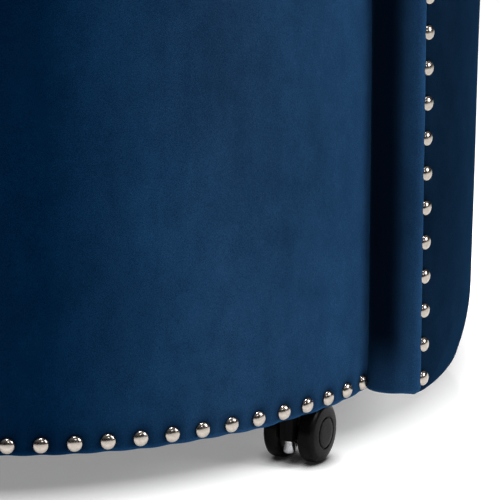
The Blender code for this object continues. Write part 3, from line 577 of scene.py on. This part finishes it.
def build_outside_panel(name, start, end, node, mat, open_front=False):
    """Outside panel: velvet over wadding and board, tucked at its foot, its seams and its nail line."""
    count = int(abs(end - start) / 0.42)
    angle = np.linspace(start, end, count)
    top = panel_top(angle)
    share = np.concatenate([np.linspace(0, 0.10, 14)[1:], np.linspace(0.10, 0.90, 44)[1:],
                            np.linspace(0.90, 1, 18)[1:]])
    z = SKIRT_Z + HEM + (top[:, None] - SKIRT_Z - HEM) * share[None, :]
    a = np.repeat(angle[:, None], z.shape[1], 1)
    r = wall_r(a, z)
    to_edge = np.minimum(np.abs(a - start), np.abs(end - a)) * radians(1) * WALL_R
    r -= 0.0020 * np.exp(-to_edge / 0.006)
    if open_front:
        r -= 0.0030 * np.exp(-np.abs(a - start) * radians(1) * WALL_R / 0.004)
    r -= 0.0022 * np.exp(-(top[:, None] - z) / 0.006)
    r += 0.0006 * fine_noise(polar(a, r, z), 7.0, 2)
    outer = polar(a, r, z)
    turn = np.linspace(0, pi / 2, 5)
    lowest = wall_r(angle, SKIRT_Z + HEM + 0 * angle)
    hem = [polar(angle, lowest - HEM * (1 - cos(t)), SKIRT_Z + HEM - HEM * sin(t)) for t in turn]
    under = [polar(angle, lowest - d, SKIRT_Z + u)
             for d, u in ((0.010, 0.0001), (0.018, 0.0003), (0.030, 0.0006))]
    back = [polar(angle, lowest - d, SKIRT_Z + u)
            for d, u in ((0.030, 0.0012), (0.009, 0.0015), (0.0065, 0.006))]
    # Painted shade along the panel's side seams and under the overhang of the padded edge.
    painted_shade = 0.75 * np.exp(-to_edge / 0.004) + 0.6 * np.exp(-(top[:, None] - z) / 0.006)
    inner_z = SKIRT_Z + (top[:, None] - SKIRT_Z) * np.linspace(0.05, 1, 10)[None, :]
    inner = polar(a[:, :10], wall_r(a[:, :10], inner_z) - 0.0058, inner_z)
    loop = [outer[:, n] for n in range(outer.shape[1])] + [inner[:, n] for n in range(9, -1, -1)]
    loop += back[::-1] + under[::-1] + hem[::-1]
    piece = loft(name, np.stack(loop, 1), mat)
    store_painted_shade(piece, np.hstack([painted_shade, np.zeros((count, len(loop) - z.shape[1]))]))
    settle(piece, BODY, "velvet", node)


def build_inside_pad(name, start, end, mat):
    """Padded inside panel from behind the seat to the underside of the padded edge."""
    angle = np.linspace(start, end, int(abs(end - start) / 0.9))
    top = roll_centre_z(angle) - 0.55 * roll_half_height(angle)
    share = np.linspace(0, 1, 46)
    z = SEAT_BASE + 0.004 + (top[:, None] - SEAT_BASE - 0.004) * share[None, :]
    a = np.repeat(angle[:, None], z.shape[1], 1)
    r = inner_r(a, z)
    edge = np.minimum(np.abs(a - start), np.abs(end - a)) * radians(1) * 0.30
    r = r + 0.006 * np.exp(-edge / 0.010) + 0.005 * np.exp(-(top[:, None] - z) / 0.012)
    inner = polar(a, r, z)
    back_z = SEAT_BASE + 0.004 + (top[:, None] - SEAT_BASE - 0.004) * np.linspace(1, 0, 12)[None, :]
    back = polar(a[:, :12], 0.3366 + 0 * back_z, back_z)
    loop = [inner[:, n] for n in range(inner.shape[1])] + [back[:, n] for n in range(12)]
    return loft(name, np.stack(loop, 1), mat)


def puff(piece, voxel, cap, pinned, pressure=4.0):
    """Fill a pad: remesh it, let cloth under pressure swell it, and cap how far any point may move."""
    mesh = piece.data
    remesh = piece.modifiers.new("remesh", "REMESH")
    remesh.mode = "VOXEL"
    remesh.voxel_size = voxel
    remesh.use_smooth_shade = True
    depsgraph = bpy.context.evaluated_depsgraph_get()
    even = bpy.data.meshes.new_from_object(piece.evaluated_get(depsgraph))
    piece.modifiers.clear()
    even.materials.clear()
    even.materials.append(mesh.materials[0])
    piece.data = even
    rest = np.zeros(len(even.vertices) * 3)
    even.vertices.foreach_get("co", rest)
    rest = rest.reshape(-1, 3)
    group = piece.vertex_groups.new(name="held")
    held = np.nonzero(pinned(rest))[0]
    group.add(held.tolist(), 1.0, "REPLACE")
    cloth = piece.modifiers.new("cloth", "CLOTH")
    settings = cloth.settings
    settings.quality = 5
    settings.mass = 0.25
    settings.tension_stiffness = settings.compression_stiffness = 12
    settings.shear_stiffness = 6
    settings.bending_stiffness = 0.8
    settings.use_pressure = True
    settings.uniform_pressure_force = pressure
    settings.vertex_group_mass = "held"
    settings.effector_weights.gravity = 0
    cloth.collision_settings.use_collision = False
    cloth.point_cache.frame_start, cloth.point_cache.frame_end = 1, 20
    for step in range(1, 21):
        bpy.context.scene.frame_set(step)
    depsgraph = bpy.context.evaluated_depsgraph_get()
    swollen = piece.evaluated_get(depsgraph).to_mesh()
    moved = np.zeros(len(swollen.vertices) * 3)
    swollen.vertices.foreach_get("co", moved)
    moved = moved.reshape(-1, 3) - rest
    piece.evaluated_get(depsgraph).to_mesh_clear()
    piece.modifiers.clear()
    bpy.context.scene.frame_set(1)
    length = np.linalg.norm(moved, axis=1, keepdims=True)
    moved *= np.minimum(1, cap / np.maximum(length, 1e-9))
    rest = rest + moved
    even.vertices.foreach_set("co", rest.ravel())
    smooth = piece.modifiers.new("smooth", "SMOOTH")
    smooth.iterations = 6
    depsgraph = bpy.context.evaluated_depsgraph_get()
    final = bpy.data.meshes.new_from_object(piece.evaluated_get(depsgraph))
    piece.modifiers.clear()
    piece.vertex_groups.clear()
    piece.data = final
    final.shade_smooth()


# ================================================================ nails
def head_profile():
    """Half section of a domed nail head, from its sunk edge to its crown, as (height, radius)."""
    points = [(-0.0012, 0.0), (-0.0012, NAIL_R - 0.0007), (-0.0006, NAIL_R), (0.0002, NAIL_R)]
    for n in range(1, 9):
        t = pi / 2 * n / 9
        points.append((0.0002 + (NAIL_H - 0.0002) * sin(t), NAIL_R * cos(t) ** 0.92))
    return points + [(NAIL_H, 0.0)]


def nail_tree(mat):
    """Nail heads on points: each stands along its point's outward arrow, a little crooked."""
    tree = bpy.data.node_groups.new("nail_row", "GeometryNodeTree")
    face = tree.interface
    face.new_socket("Geometry", in_out="INPUT", socket_type="NodeSocketGeometry")
    face.new_socket("Head", in_out="INPUT", socket_type="NodeSocketObject")
    tilt = face.new_socket("Crookedness", in_out="INPUT", socket_type="NodeSocketFloat")
    tilt.default_value = 0.05
    seed = face.new_socket("Seed", in_out="INPUT", socket_type="NodeSocketInt")
    seed.default_value = 4
    face.new_socket("Geometry", in_out="OUTPUT", socket_type="NodeSocketGeometry")
    nodes, link = tree.nodes, tree.links.new
    given = nodes.new("NodeGroupInput")
    result = nodes.new("NodeGroupOutput")
    head = nodes.new("GeometryNodeObjectInfo")
    head.inputs["As Instance"].default_value = True
    arrow = nodes.new("GeometryNodeInputNamedAttribute")
    arrow.data_type = "FLOAT_VECTOR"
    arrow.inputs["Name"].default_value = "outward"
    align = nodes.new("FunctionNodeAlignRotationToVector")
    align.axis = "X"
    crooked = nodes.new("FunctionNodeRandomValue")
    crooked.data_type = "FLOAT_VECTOR"
    low = nodes.new("ShaderNodeVectorMath")
    low.operation = "SCALE"
    low.inputs[0].default_value = (-1, -1, -1)
    high = nodes.new("ShaderNodeVectorMath")
    high.operation = "SCALE"
    high.inputs[0].default_value = (1, 1, 1)
    turn = nodes.new("FunctionNodeRotateRotation")
    turn.rotation_space = "LOCAL"
    to_points = nodes.new("GeometryNodeMeshToPoints")
    scatter = nodes.new("GeometryNodeInstanceOnPoints")
    real = nodes.new("GeometryNodeRealizeInstances")
    finish = nodes.new("GeometryNodeSetMaterial")
    finish.inputs["Material"].default_value = mat
    link(given.outputs["Head"], head.inputs["Object"])
    link(arrow.outputs["Attribute"], align.inputs["Vector"])
    link(given.outputs["Crookedness"], low.inputs["Scale"])
    link(given.outputs["Crookedness"], high.inputs["Scale"])
    link(low.outputs["Vector"], crooked.inputs["Min"])
    link(high.outputs["Vector"], crooked.inputs["Max"])
    link(given.outputs["Seed"], crooked.inputs["Seed"])
    link(align.outputs["Rotation"], turn.inputs["Rotation"])
    link(crooked.outputs["Value"], turn.inputs["Rotate By"])
    link(given.outputs["Geometry"], to_points.inputs["Mesh"])
    link(to_points.outputs["Points"], scatter.inputs["Points"])
    link(head.outputs["Geometry"], scatter.inputs["Instance"])
    link(turn.outputs["Rotation"], scatter.inputs["Rotation"])
    link(scatter.outputs["Instances"], real.inputs["Geometry"])
    link(real.outputs["Geometry"], finish.inputs["Geometry"])
    link(finish.outputs["Geometry"], result.inputs["Geometry"])
    return tree


def along_points(name, points, outward, tree, values):
    """Mesh made by a node tree on a list of points with outward arrows."""
    mesh = bpy.data.meshes.new(name)
    mesh.from_pydata([tuple(p) for p in points], [], [])
    arrows = mesh.attributes.new("outward", "FLOAT_VECTOR", "POINT")
    arrows.data.foreach_set("vector", np.asarray(outward, float).ravel())
    piece = bpy.data.objects.new(name, mesh)
    bpy.context.scene.collection.objects.link(piece)
    modifier = piece.modifiers.new("row", "NODES")
    sockets = {item.name: item.identifier for item in tree.interface.items_tree if item.in_out == "INPUT"}
    for key, value in values.items():
        modifier[sockets[key]] = value
    modifier.node_group = tree
    for key, value in values.items():
        modifier[sockets[key]] = value
    depsgraph = bpy.context.evaluated_depsgraph_get()
    final = bpy.data.meshes.new_from_object(piece.evaluated_get(depsgraph))
    piece.modifiers.clear()
    piece.data = final
    return piece


def wall_normal(angle, z):
    """Outward direction of the barrel wall on the right side."""
    along = polar(angle + 0.1, wall_r(angle + 0.1, z), z) - polar(angle - 0.1, wall_r(angle - 0.1, z), z)
    up = polar(angle, wall_r(angle, z + 0.001), z + 0.001) - polar(angle, wall_r(angle, z - 0.001), z - 0.001)
    out = np.cross(along, up)
    return out / np.linalg.norm(out)


def side_nails():
    """Nails of the right side: up beside the roll, round the corner, then along the top to the middle."""
    turn = degrees(NAIL_CORNER / WALL_R)
    z_bend = float(roll_centre_z(ROLL_ANGLE)) - NAIL_DROP - NAIL_CORNER
    route = [(COLUMN_ANGLE, z) for z in np.linspace(COLUMN_FOOT, z_bend, 120)]
    route += [(COLUMN_ANGLE + turn * (1 - cos(b)), z_bend + NAIL_CORNER * sin(b))
              for b in np.linspace(0, pi / 2, 24)]
    route += [(a, float(roll_centre_z(a)) - NAIL_DROP)
              for a in np.linspace(COLUMN_ANGLE + turn, 180, 400)]
    route = np.array(route)
    path = polar(route[:, 0], wall_r(route[:, 0], route[:, 1]), route[:, 1])
    run = np.concatenate([[0], np.cumsum(np.linalg.norm(np.diff(path, axis=0), axis=1))])
    count = round(run[-1] / SIDE_NAIL_PITCH - 0.5)
    pitch = run[-1] / (count + 0.5)
    at = pitch * np.arange(count + 1)
    angle, z = np.interp(at, run, route[:, 0]), np.interp(at, run, route[:, 1])
    points = [polar(a, wall_r(a, h), h) for a, h in zip(angle, z)]
    outward = [wall_normal(a, h) for a, h in zip(angle, z)]
    return np.array(points), np.array(outward)


def build_nails(mat):
    head = turned("nail_head", head_profile(), 30, mat)
    tree = nail_tree(mat)
    angles = np.array(nail_angles())
    outward = polar(angles, 1.0, 0.0) - polar(angles, 0.0, 0.0)
    rows = {"front": (polar(angles, FRONT_R - 0.0009, NAIL_Z), outward)}
    points, outward = side_nails()
    mirror = np.array((-1, 1, 1))
    rows["right"] = (points, outward)
    rows["left"] = (points * mirror, outward * mirror)
    for seed, (name, (places, out)) in enumerate(rows.items()):
        piece = along_points(f"nails_{name}", places, out, tree,
                             {"Head": head, "Crookedness": 0.05, "Seed": seed})
        settle(piece, BODY, "nickel", f"nail_trim_{name}")
    bpy.data.objects.remove(head)


# ================================================================ casters
def caster_places(corner):
    """Stem, hub and axle direction of a caster, read from the frame's joints."""
    joints = {j["name"]: j for j in frame["joints"]}
    stem = Vector(joints[f"caster_swivel_{corner}"]["pos_m"])
    spin = joints[f"wheel_a_spin_{corner}"]
    return stem, Vector(spin["pos_m"]), Vector(spin["axis"])


def axle_frame(hub, axle):
    """Local X along the axle, Z up, at the hub."""
    x = axle.normalized()
    y = Vector((0, 0, 1)).cross(x)
    return Matrix.Translation(hub) @ Matrix((x, y, Vector((0, 0, 1)))).transposed().to_4x4()


def build_wheel(name, place, mat):
    """Wheel with a rounded tread, a lightly domed side and a round cap set into it."""
    r = WHEEL_R
    profile = [(0.0090, 0.0), (0.0090, 0.0055), (0.0078, 0.0060), (0.0078, 0.0190), (0.0080, 0.0222),
               (0.0098, r - 0.0004), (0.0116, r), (0.0182, r), (0.0202, r - 0.0006), (0.0218, 0.0222),
               (0.0226, 0.0205), (0.0232, 0.0165), (0.0234, 0.0136), (0.0226, 0.0131), (0.0226, 0.0124),
               (0.0236, 0.0119), (0.0239, 0.0080), (0.0240, 0.0)]
    return turned(name, rounded(profile, 0.0011, 4), 72, mat, place)


def build_housing(name, place, mat):
    """Housing between the wheels: a boss round the stem and a plate that reaches back to the axle."""
    outline = [(-0.0060, 0.0218), (-0.0068, 0.0232), (-0.0068, 0.0520), (-0.0055, 0.0534), (0.0100, 0.0534)]
    for n in range(17):
        a = radians(78 - 160 * n / 16)
        outline.append((CASTER_TRAIL + 0.0137 * cos(a), WHEEL_R + 0.0137 * sin(a)))
    outline += [(0.0100, 0.0222), (0.0060, 0.0216)]
    half = 0.0060
    rows = [[Vector((x, y * shrink + (1 - shrink) * 0.010, (z - 0.036) * shrink + 0.036)) for y, z in outline]
            for x, shrink in ((-half, 0.94), (-half + 0.0008, 1.0), (half - 0.0008, 1.0), (half, 0.94))]
    piece = loft(name, [[place @ p for p in row] for row in rows], mat)
    boss = [(0.0216, 0.0), (0.0216, 0.0058), (0.0226, 0.0069), (0.0524, 0.0071), (0.0535, 0.0060),
            (0.0535, 0.0)]
    upright = place @ Matrix.Rotation(-pi / 2, 4, "Y")
    ring = turned("boss", boss, 48, mat, upright)
    join = piece.modifiers.new("join", "BOOLEAN")
    join.operation = "UNION"
    join.solver = "EXACT"
    join.object = ring
    depsgraph = bpy.context.evaluated_depsgraph_get()
    final = bpy.data.meshes.new_from_object(piece.evaluated_get(depsgraph))
    piece.modifiers.clear()
    piece.data = final
    final.set_sharp_from_angle(angle=radians(35))
    bpy.data.objects.remove(ring)
    return piece


def build_stem(name, place, mat):
    """Stem: shank in the frame, collar above the housing, and the riveted foot under it."""
    profile = [(0.0105, 0.0), (0.0105, 0.0036), (0.0118, 0.0049), (0.0142, 0.0050), (0.0190, 0.0043),
               (0.0212, 0.0040), (0.0538, 0.0040), (0.0538, 0.0088), (0.0544, 0.0092), (0.0576, 0.0092),
               (0.0580, 0.0088), (0.0580, 0.0040), (0.0900, 0.0040), (0.0918, 0.0028), (0.0918, 0.0)]
    return turned(name, profile, 40, mat, place @ Matrix.Rotation(-pi / 2, 4, "Y"))


def build_casters(nylon, dull_nylon, steel):
    for corner in CORNERS:
        stem, hub, axle = caster_places(corner)
        place = axle_frame(hub, axle)
        back = axle_frame(hub, -axle)
        for letter, where in (("a", place), ("b", back)):
            wheel = build_wheel(f"wheel_{letter}_{corner}", where, nylon)
            settle(wheel, f"wheel_{letter}_{corner}", "caster_black", f"caster_wheel_{letter}_{corner}")
        at_stem = axle_frame(Vector((stem.x, stem.y, 0)), axle)
        toward_hub = (hub - stem).xy.normalized()
        if at_stem.col[1].xy.dot(toward_hub) < 0:
            at_stem = axle_frame(Vector((stem.x, stem.y, 0)), -axle)
        housing = build_housing(f"housing_{corner}", at_stem, dull_nylon)
        settle(housing, f"swivel_{corner}", "caster_black", f"caster_housing_{corner}")
        pin = build_stem(f"stem_{corner}", at_stem, steel)
        settle(pin, BODY, "caster_steel", f"caster_stem_{corner}")


# ================================================================ underside
def build_dust_cover(mat):
    """Thin cloth stretched under the frame, cut out round the caster collars, sagging a little between."""
    low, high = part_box("dust_cover")
    angle = np.linspace(-180, 180, 181)[:-1]
    edge = 0.3165 + 0.0440 * smooth_step((side_angle(angle) - 64.5) / 1.6)
    stems = [caster_places(corner)[0] for corner in CORNERS]
    hole_r, spacing = 0.0104, 0.0125
    rings = [[Vector(p[:2]) for p in polar(angle, edge, 0.0)]]
    for stem in stems:
        rings.append([stem.xy + hole_r * Vector((cos(t), sin(t))) for t in np.linspace(0, 2 * pi, 29)[:-1]])
    points, seams = [], []
    for ring in rings:
        first = len(points)
        points += ring
        seams += [(first + n, first + (n + 1) % len(ring)) for n in range(len(ring))]
    for x in np.arange(-0.36, 0.36, spacing):
        for y in np.arange(-0.36, 0.36, spacing):
            r, a = hypot(x, y), degrees(atan2(x, -y))
            here = Vector((x, y + AXIS_Y))
            inside = r < float(np.interp(a, angle, edge)) - 0.6 * spacing
            if inside and all((here - stem.xy).length > hole_r + 0.4 * spacing for stem in stems):
                points.append(here)
    flat, _, tris, *_ = delaunay_2d_cdt(points, seams, [], 1, 1e-6)
    centres = [sum((flat[v] for v in t), Vector((0, 0))) / 3 for t in tris]
    tris = [t for t, centre in zip(tris, centres)
            if all((centre - stem.xy).length > hole_r for stem in stems)]
    verts = np.array([(*v, 0.0) for v in flat])
    sag = 0.0006 * np.clip(1 - np.hypot(verts[:, 0], verts[:, 1] - AXIS_Y) / 0.33, 0, 1)
    wave = 0.00025 * fine_noise(verts, 9.0, 5)
    verts[:, 2] = low.z + 0.0001 - sag + wave * (sag > 0)
    thick = np.array((0, 0, high.z - low.z - 0.0002))
    count = len(verts)
    uses = {}
    for t in tris:
        for pair in ((t[0], t[1]), (t[1], t[2]), (t[2], t[0])):
            uses[tuple(sorted(pair))] = uses.get(tuple(sorted(pair)), 0) + 1
    rim = [pair for pair, n in uses.items() if n == 1]
    faces = [list(t) for t in tris] + [[v + count for v in t] for t in tris]
    faces += [[a, b, b + count, a + count] for a, b in rim]
    piece = new_piece("stapled_dust_cover", np.vstack([verts, verts + thick]), faces, mat)
    settle(piece, BODY, "dust_cloth", "dust_cover")


def below_seam(points):
    """The seat pad is held where it lies on the springs and rails, up to its front seam."""
    return points[:, 2] < FRONT_SEAM_Z + 0.004


def against_frame(points):
    """The inside pads are held where their backs lie on the frame."""
    return np.hypot(points[:, 0], points[:, 1] - AXIS_Y) > 0.331


# ================================================================ room, light and camera
def build_stage():
    """White paper floor with its own glow round the chair; the chair's shadow is painted in as weaker glow,
    and a painted contact shadow darkens it most where a wheel touches.
    """
    mesh = bpy.data.meshes.new("floor")
    size = 20.0
    corners = [(-size, -size, 0), (size, -size, 0), (size, size, 0), (-size, size, 0)]
    mesh.from_pydata(corners, [], [(0, 1, 2, 3)])
    mat, tree, shader = shader_material("floor_paper", Roughness=0.9, Specular_IOR_Level=0.0,
                                        Emission_Strength=1.0)
    place = add_node(tree, "ShaderNodeTexCoord")
    away = add_node(tree, "ShaderNodeVectorMath", operation="DISTANCE")
    away.inputs[1].default_value = (-0.05, AXIS_Y + 0.214, 0)
    tree.links.new(place.outputs["Object"], away.inputs[0])
    # Painted shadow: weak glow within about 0.45 m of a point behind the chair's middle, rising to full glow
    # by 0.5 m and fading far out.
    painted_shadow_glow = ramp(tree, away.outputs["Value"], [(0.452, (0.26, 0.26, 0.26)), (0.500, (0.74, 0.74, 0.74)),
                                              (0.62, (0.80, 0.80, 0.80)), (0.75, (0.34, 0.34, 0.34))])
    # Painted contact shadow: ambient occlusion darkens the glow and the paper colour close under the chair
    # and its wheels.
    contact_shadow_ao = add_node(tree, "ShaderNodeAmbientOcclusion", samples=16)
    contact_shadow_ao.inputs["Distance"].default_value = 0.022
    dark = ramp(tree, contact_shadow_ao.outputs["AO"], [(0.35, (0.02, 0.02, 0.02)), (0.85, (1, 1, 1))])
    tree.links.new(mix_colours(tree, 1.0, painted_shadow_glow, dark, "MULTIPLY"), shader.inputs["Emission Color"])
    paper = mix_colours(tree, 1.0, dark, (0.80, 0.80, 0.80, 1), "MULTIPLY")
    tree.links.new(paper, shader.inputs["Base Color"])
    mesh.materials.append(mat)
    floor = bpy.data.objects.new("floor", mesh)
    bpy.context.scene.collection.objects.link(floor)


def build_world():
    """Soft studio: bright overhead, dark from the horizon half way up."""
    world = bpy.data.worlds.new("studio")
    bpy.context.scene.world = world
    world.use_nodes = True
    tree = world.node_tree
    place = add_node(tree, "ShaderNodeTexCoord")
    split = add_node(tree, "ShaderNodeSeparateXYZ")
    tree.links.new(place.outputs["Generated"], split.inputs["Vector"])
    sky = ramp(tree, split.outputs["Z"], [(0.0, (0.05, 0.05, 0.05)), (0.30, (0.03, 0.03, 0.03)),
                                          (0.75, (0.6, 0.6, 0.6)), (1.0, (1.0, 1.0, 1.0))])
    background = tree.nodes["Background"]
    tree.links.new(sky, background.inputs["Color"])
    background.inputs["Strength"].default_value = 0.4


def add_softbox(name, at, target, width, height, power):
    light = bpy.data.lights.new(name, "AREA")
    light.shape = "RECTANGLE"
    light.size, light.size_y = width, height
    light.energy = power
    lamp = bpy.data.objects.new(name, light)
    bpy.context.scene.collection.objects.link(lamp)
    lamp.location = at
    lamp.rotation_euler = (Vector(target) - Vector(at)).to_track_quat("-Z", "Y").to_euler()


def build_light_and_camera():
    build_world()
    add_softbox("overhead", (0.1, -0.25, 2.9), (0.1, -0.1, 0), 0.8, 0.8, 105)
    add_softbox("right", (2.5, -0.85, 1.5), (0.1, -0.2, 0.3), 1.0, 1.2, 52)
    add_softbox("front_right", (1.0, -2.9, 2.1), (0.1, -0.2, 0.2), 0.5, 0.5, 9)
    camera = bpy.data.cameras.new("camera")
    camera.sensor_width = 36.0
    camera.lens = 202.6
    camera.clip_end = 50
    eye = bpy.data.objects.new("camera", camera)
    bpy.context.scene.collection.objects.link(eye)
    eye.location = (0.0, AXIS_Y - 2.330, 0.7344)
    eye.rotation_euler = (radians(90 - 14.56), 0, radians(-4.70))
    bpy.context.scene.camera = eye
    bpy.context.scene.view_settings.view_transform = "Standard"


# ================================================================ build
build_light_and_camera()
build_stage()

NAVY = (0.0082, 0.0290, 0.0700)
# middle paints shade down the centre line of the seat front.
front_velvet = velvet("velvet_front", NAVY, middle=0.42)
# Painted light: the rolls get a copy of the velvet painted brighter, with more sheen.
painted_light_roll_velvet = velvet("velvet_roll", tuple(1.15 * channel for channel in NAVY), sheen=0.22)
# Painted shade: the outside panels get a copy of the velvet painted about a third as bright.
painted_shade_outer_velvet = velvet("velvet_outer", tuple(0.34 * channel for channel in NAVY), sheen=0.05)
inner_velvet = velvet("velvet_inner", NAVY)
nickel = polished_nickel()
nylon = black_nylon("black_nylon", 0.22)
dull_nylon = black_nylon("dull_nylon", 0.40)
stem_steel = zinc_steel("stem_steel", (0.30, 0.30, 0.31), 0.20)
spring_steel = zinc_steel("spring_steel", (0.36, 0.35, 0.34), 0.40)
timber = sawn_wood()
black_cloth = dust_cloth()

build_seat_front(front_velvet)
build_piping(front_velvet)
seat_pad = build_seat_pad(inner_velvet)
puff(seat_pad, 0.006, 0.008, below_seam)
settle(seat_pad, BODY, "velvet", "seat_cushion")

for side, sign in (("left", -1), ("right", 1)):
    build_arm_roll(side, sign, painted_light_roll_velvet)
    build_outside_panel(f"outside_cover_{side}", sign * (PANEL_FRONT + 0.2), sign * (SIDE_SEAM - 0.03),
                        f"outside_arm_{side}", painted_shade_outer_velvet, True)
    pad = build_inside_pad(f"inside_arm_pad_{side}", sign * 64.0, sign * (SIDE_SEAM - 0.2), inner_velvet)
    puff(pad, 0.006, 0.006, against_frame)
    settle(pad, BODY, "velvet", f"inside_arm_{side}")
build_outside_panel("outside_cover_back", SIDE_SEAM + 0.03, 360 - SIDE_SEAM - 0.03, "outside_back",
                    painted_shade_outer_velvet)
back_pad = build_inside_pad("inside_back_pad", SIDE_SEAM + 0.2, 360 - SIDE_SEAM - 0.2, inner_velvet)
puff(back_pad, 0.006, 0.008, against_frame)
settle(back_pad, BODY, "velvet", "inside_back")
build_back_roll(painted_light_roll_velvet)

build_nails(nickel)
build_casters(nylon, dull_nylon, stem_steel)
build_dust_cover(black_cloth)

for name, node in frame["nodes"].items():
    if node.hide_render:
        continue
    finish = timber
    if name.startswith("seat_spring"):
        finish = spring_steel
    elif name.startswith("caster_axle"):
        finish = stem_steel
    node.data.materials.clear()
    node.data.materials.append(finish)
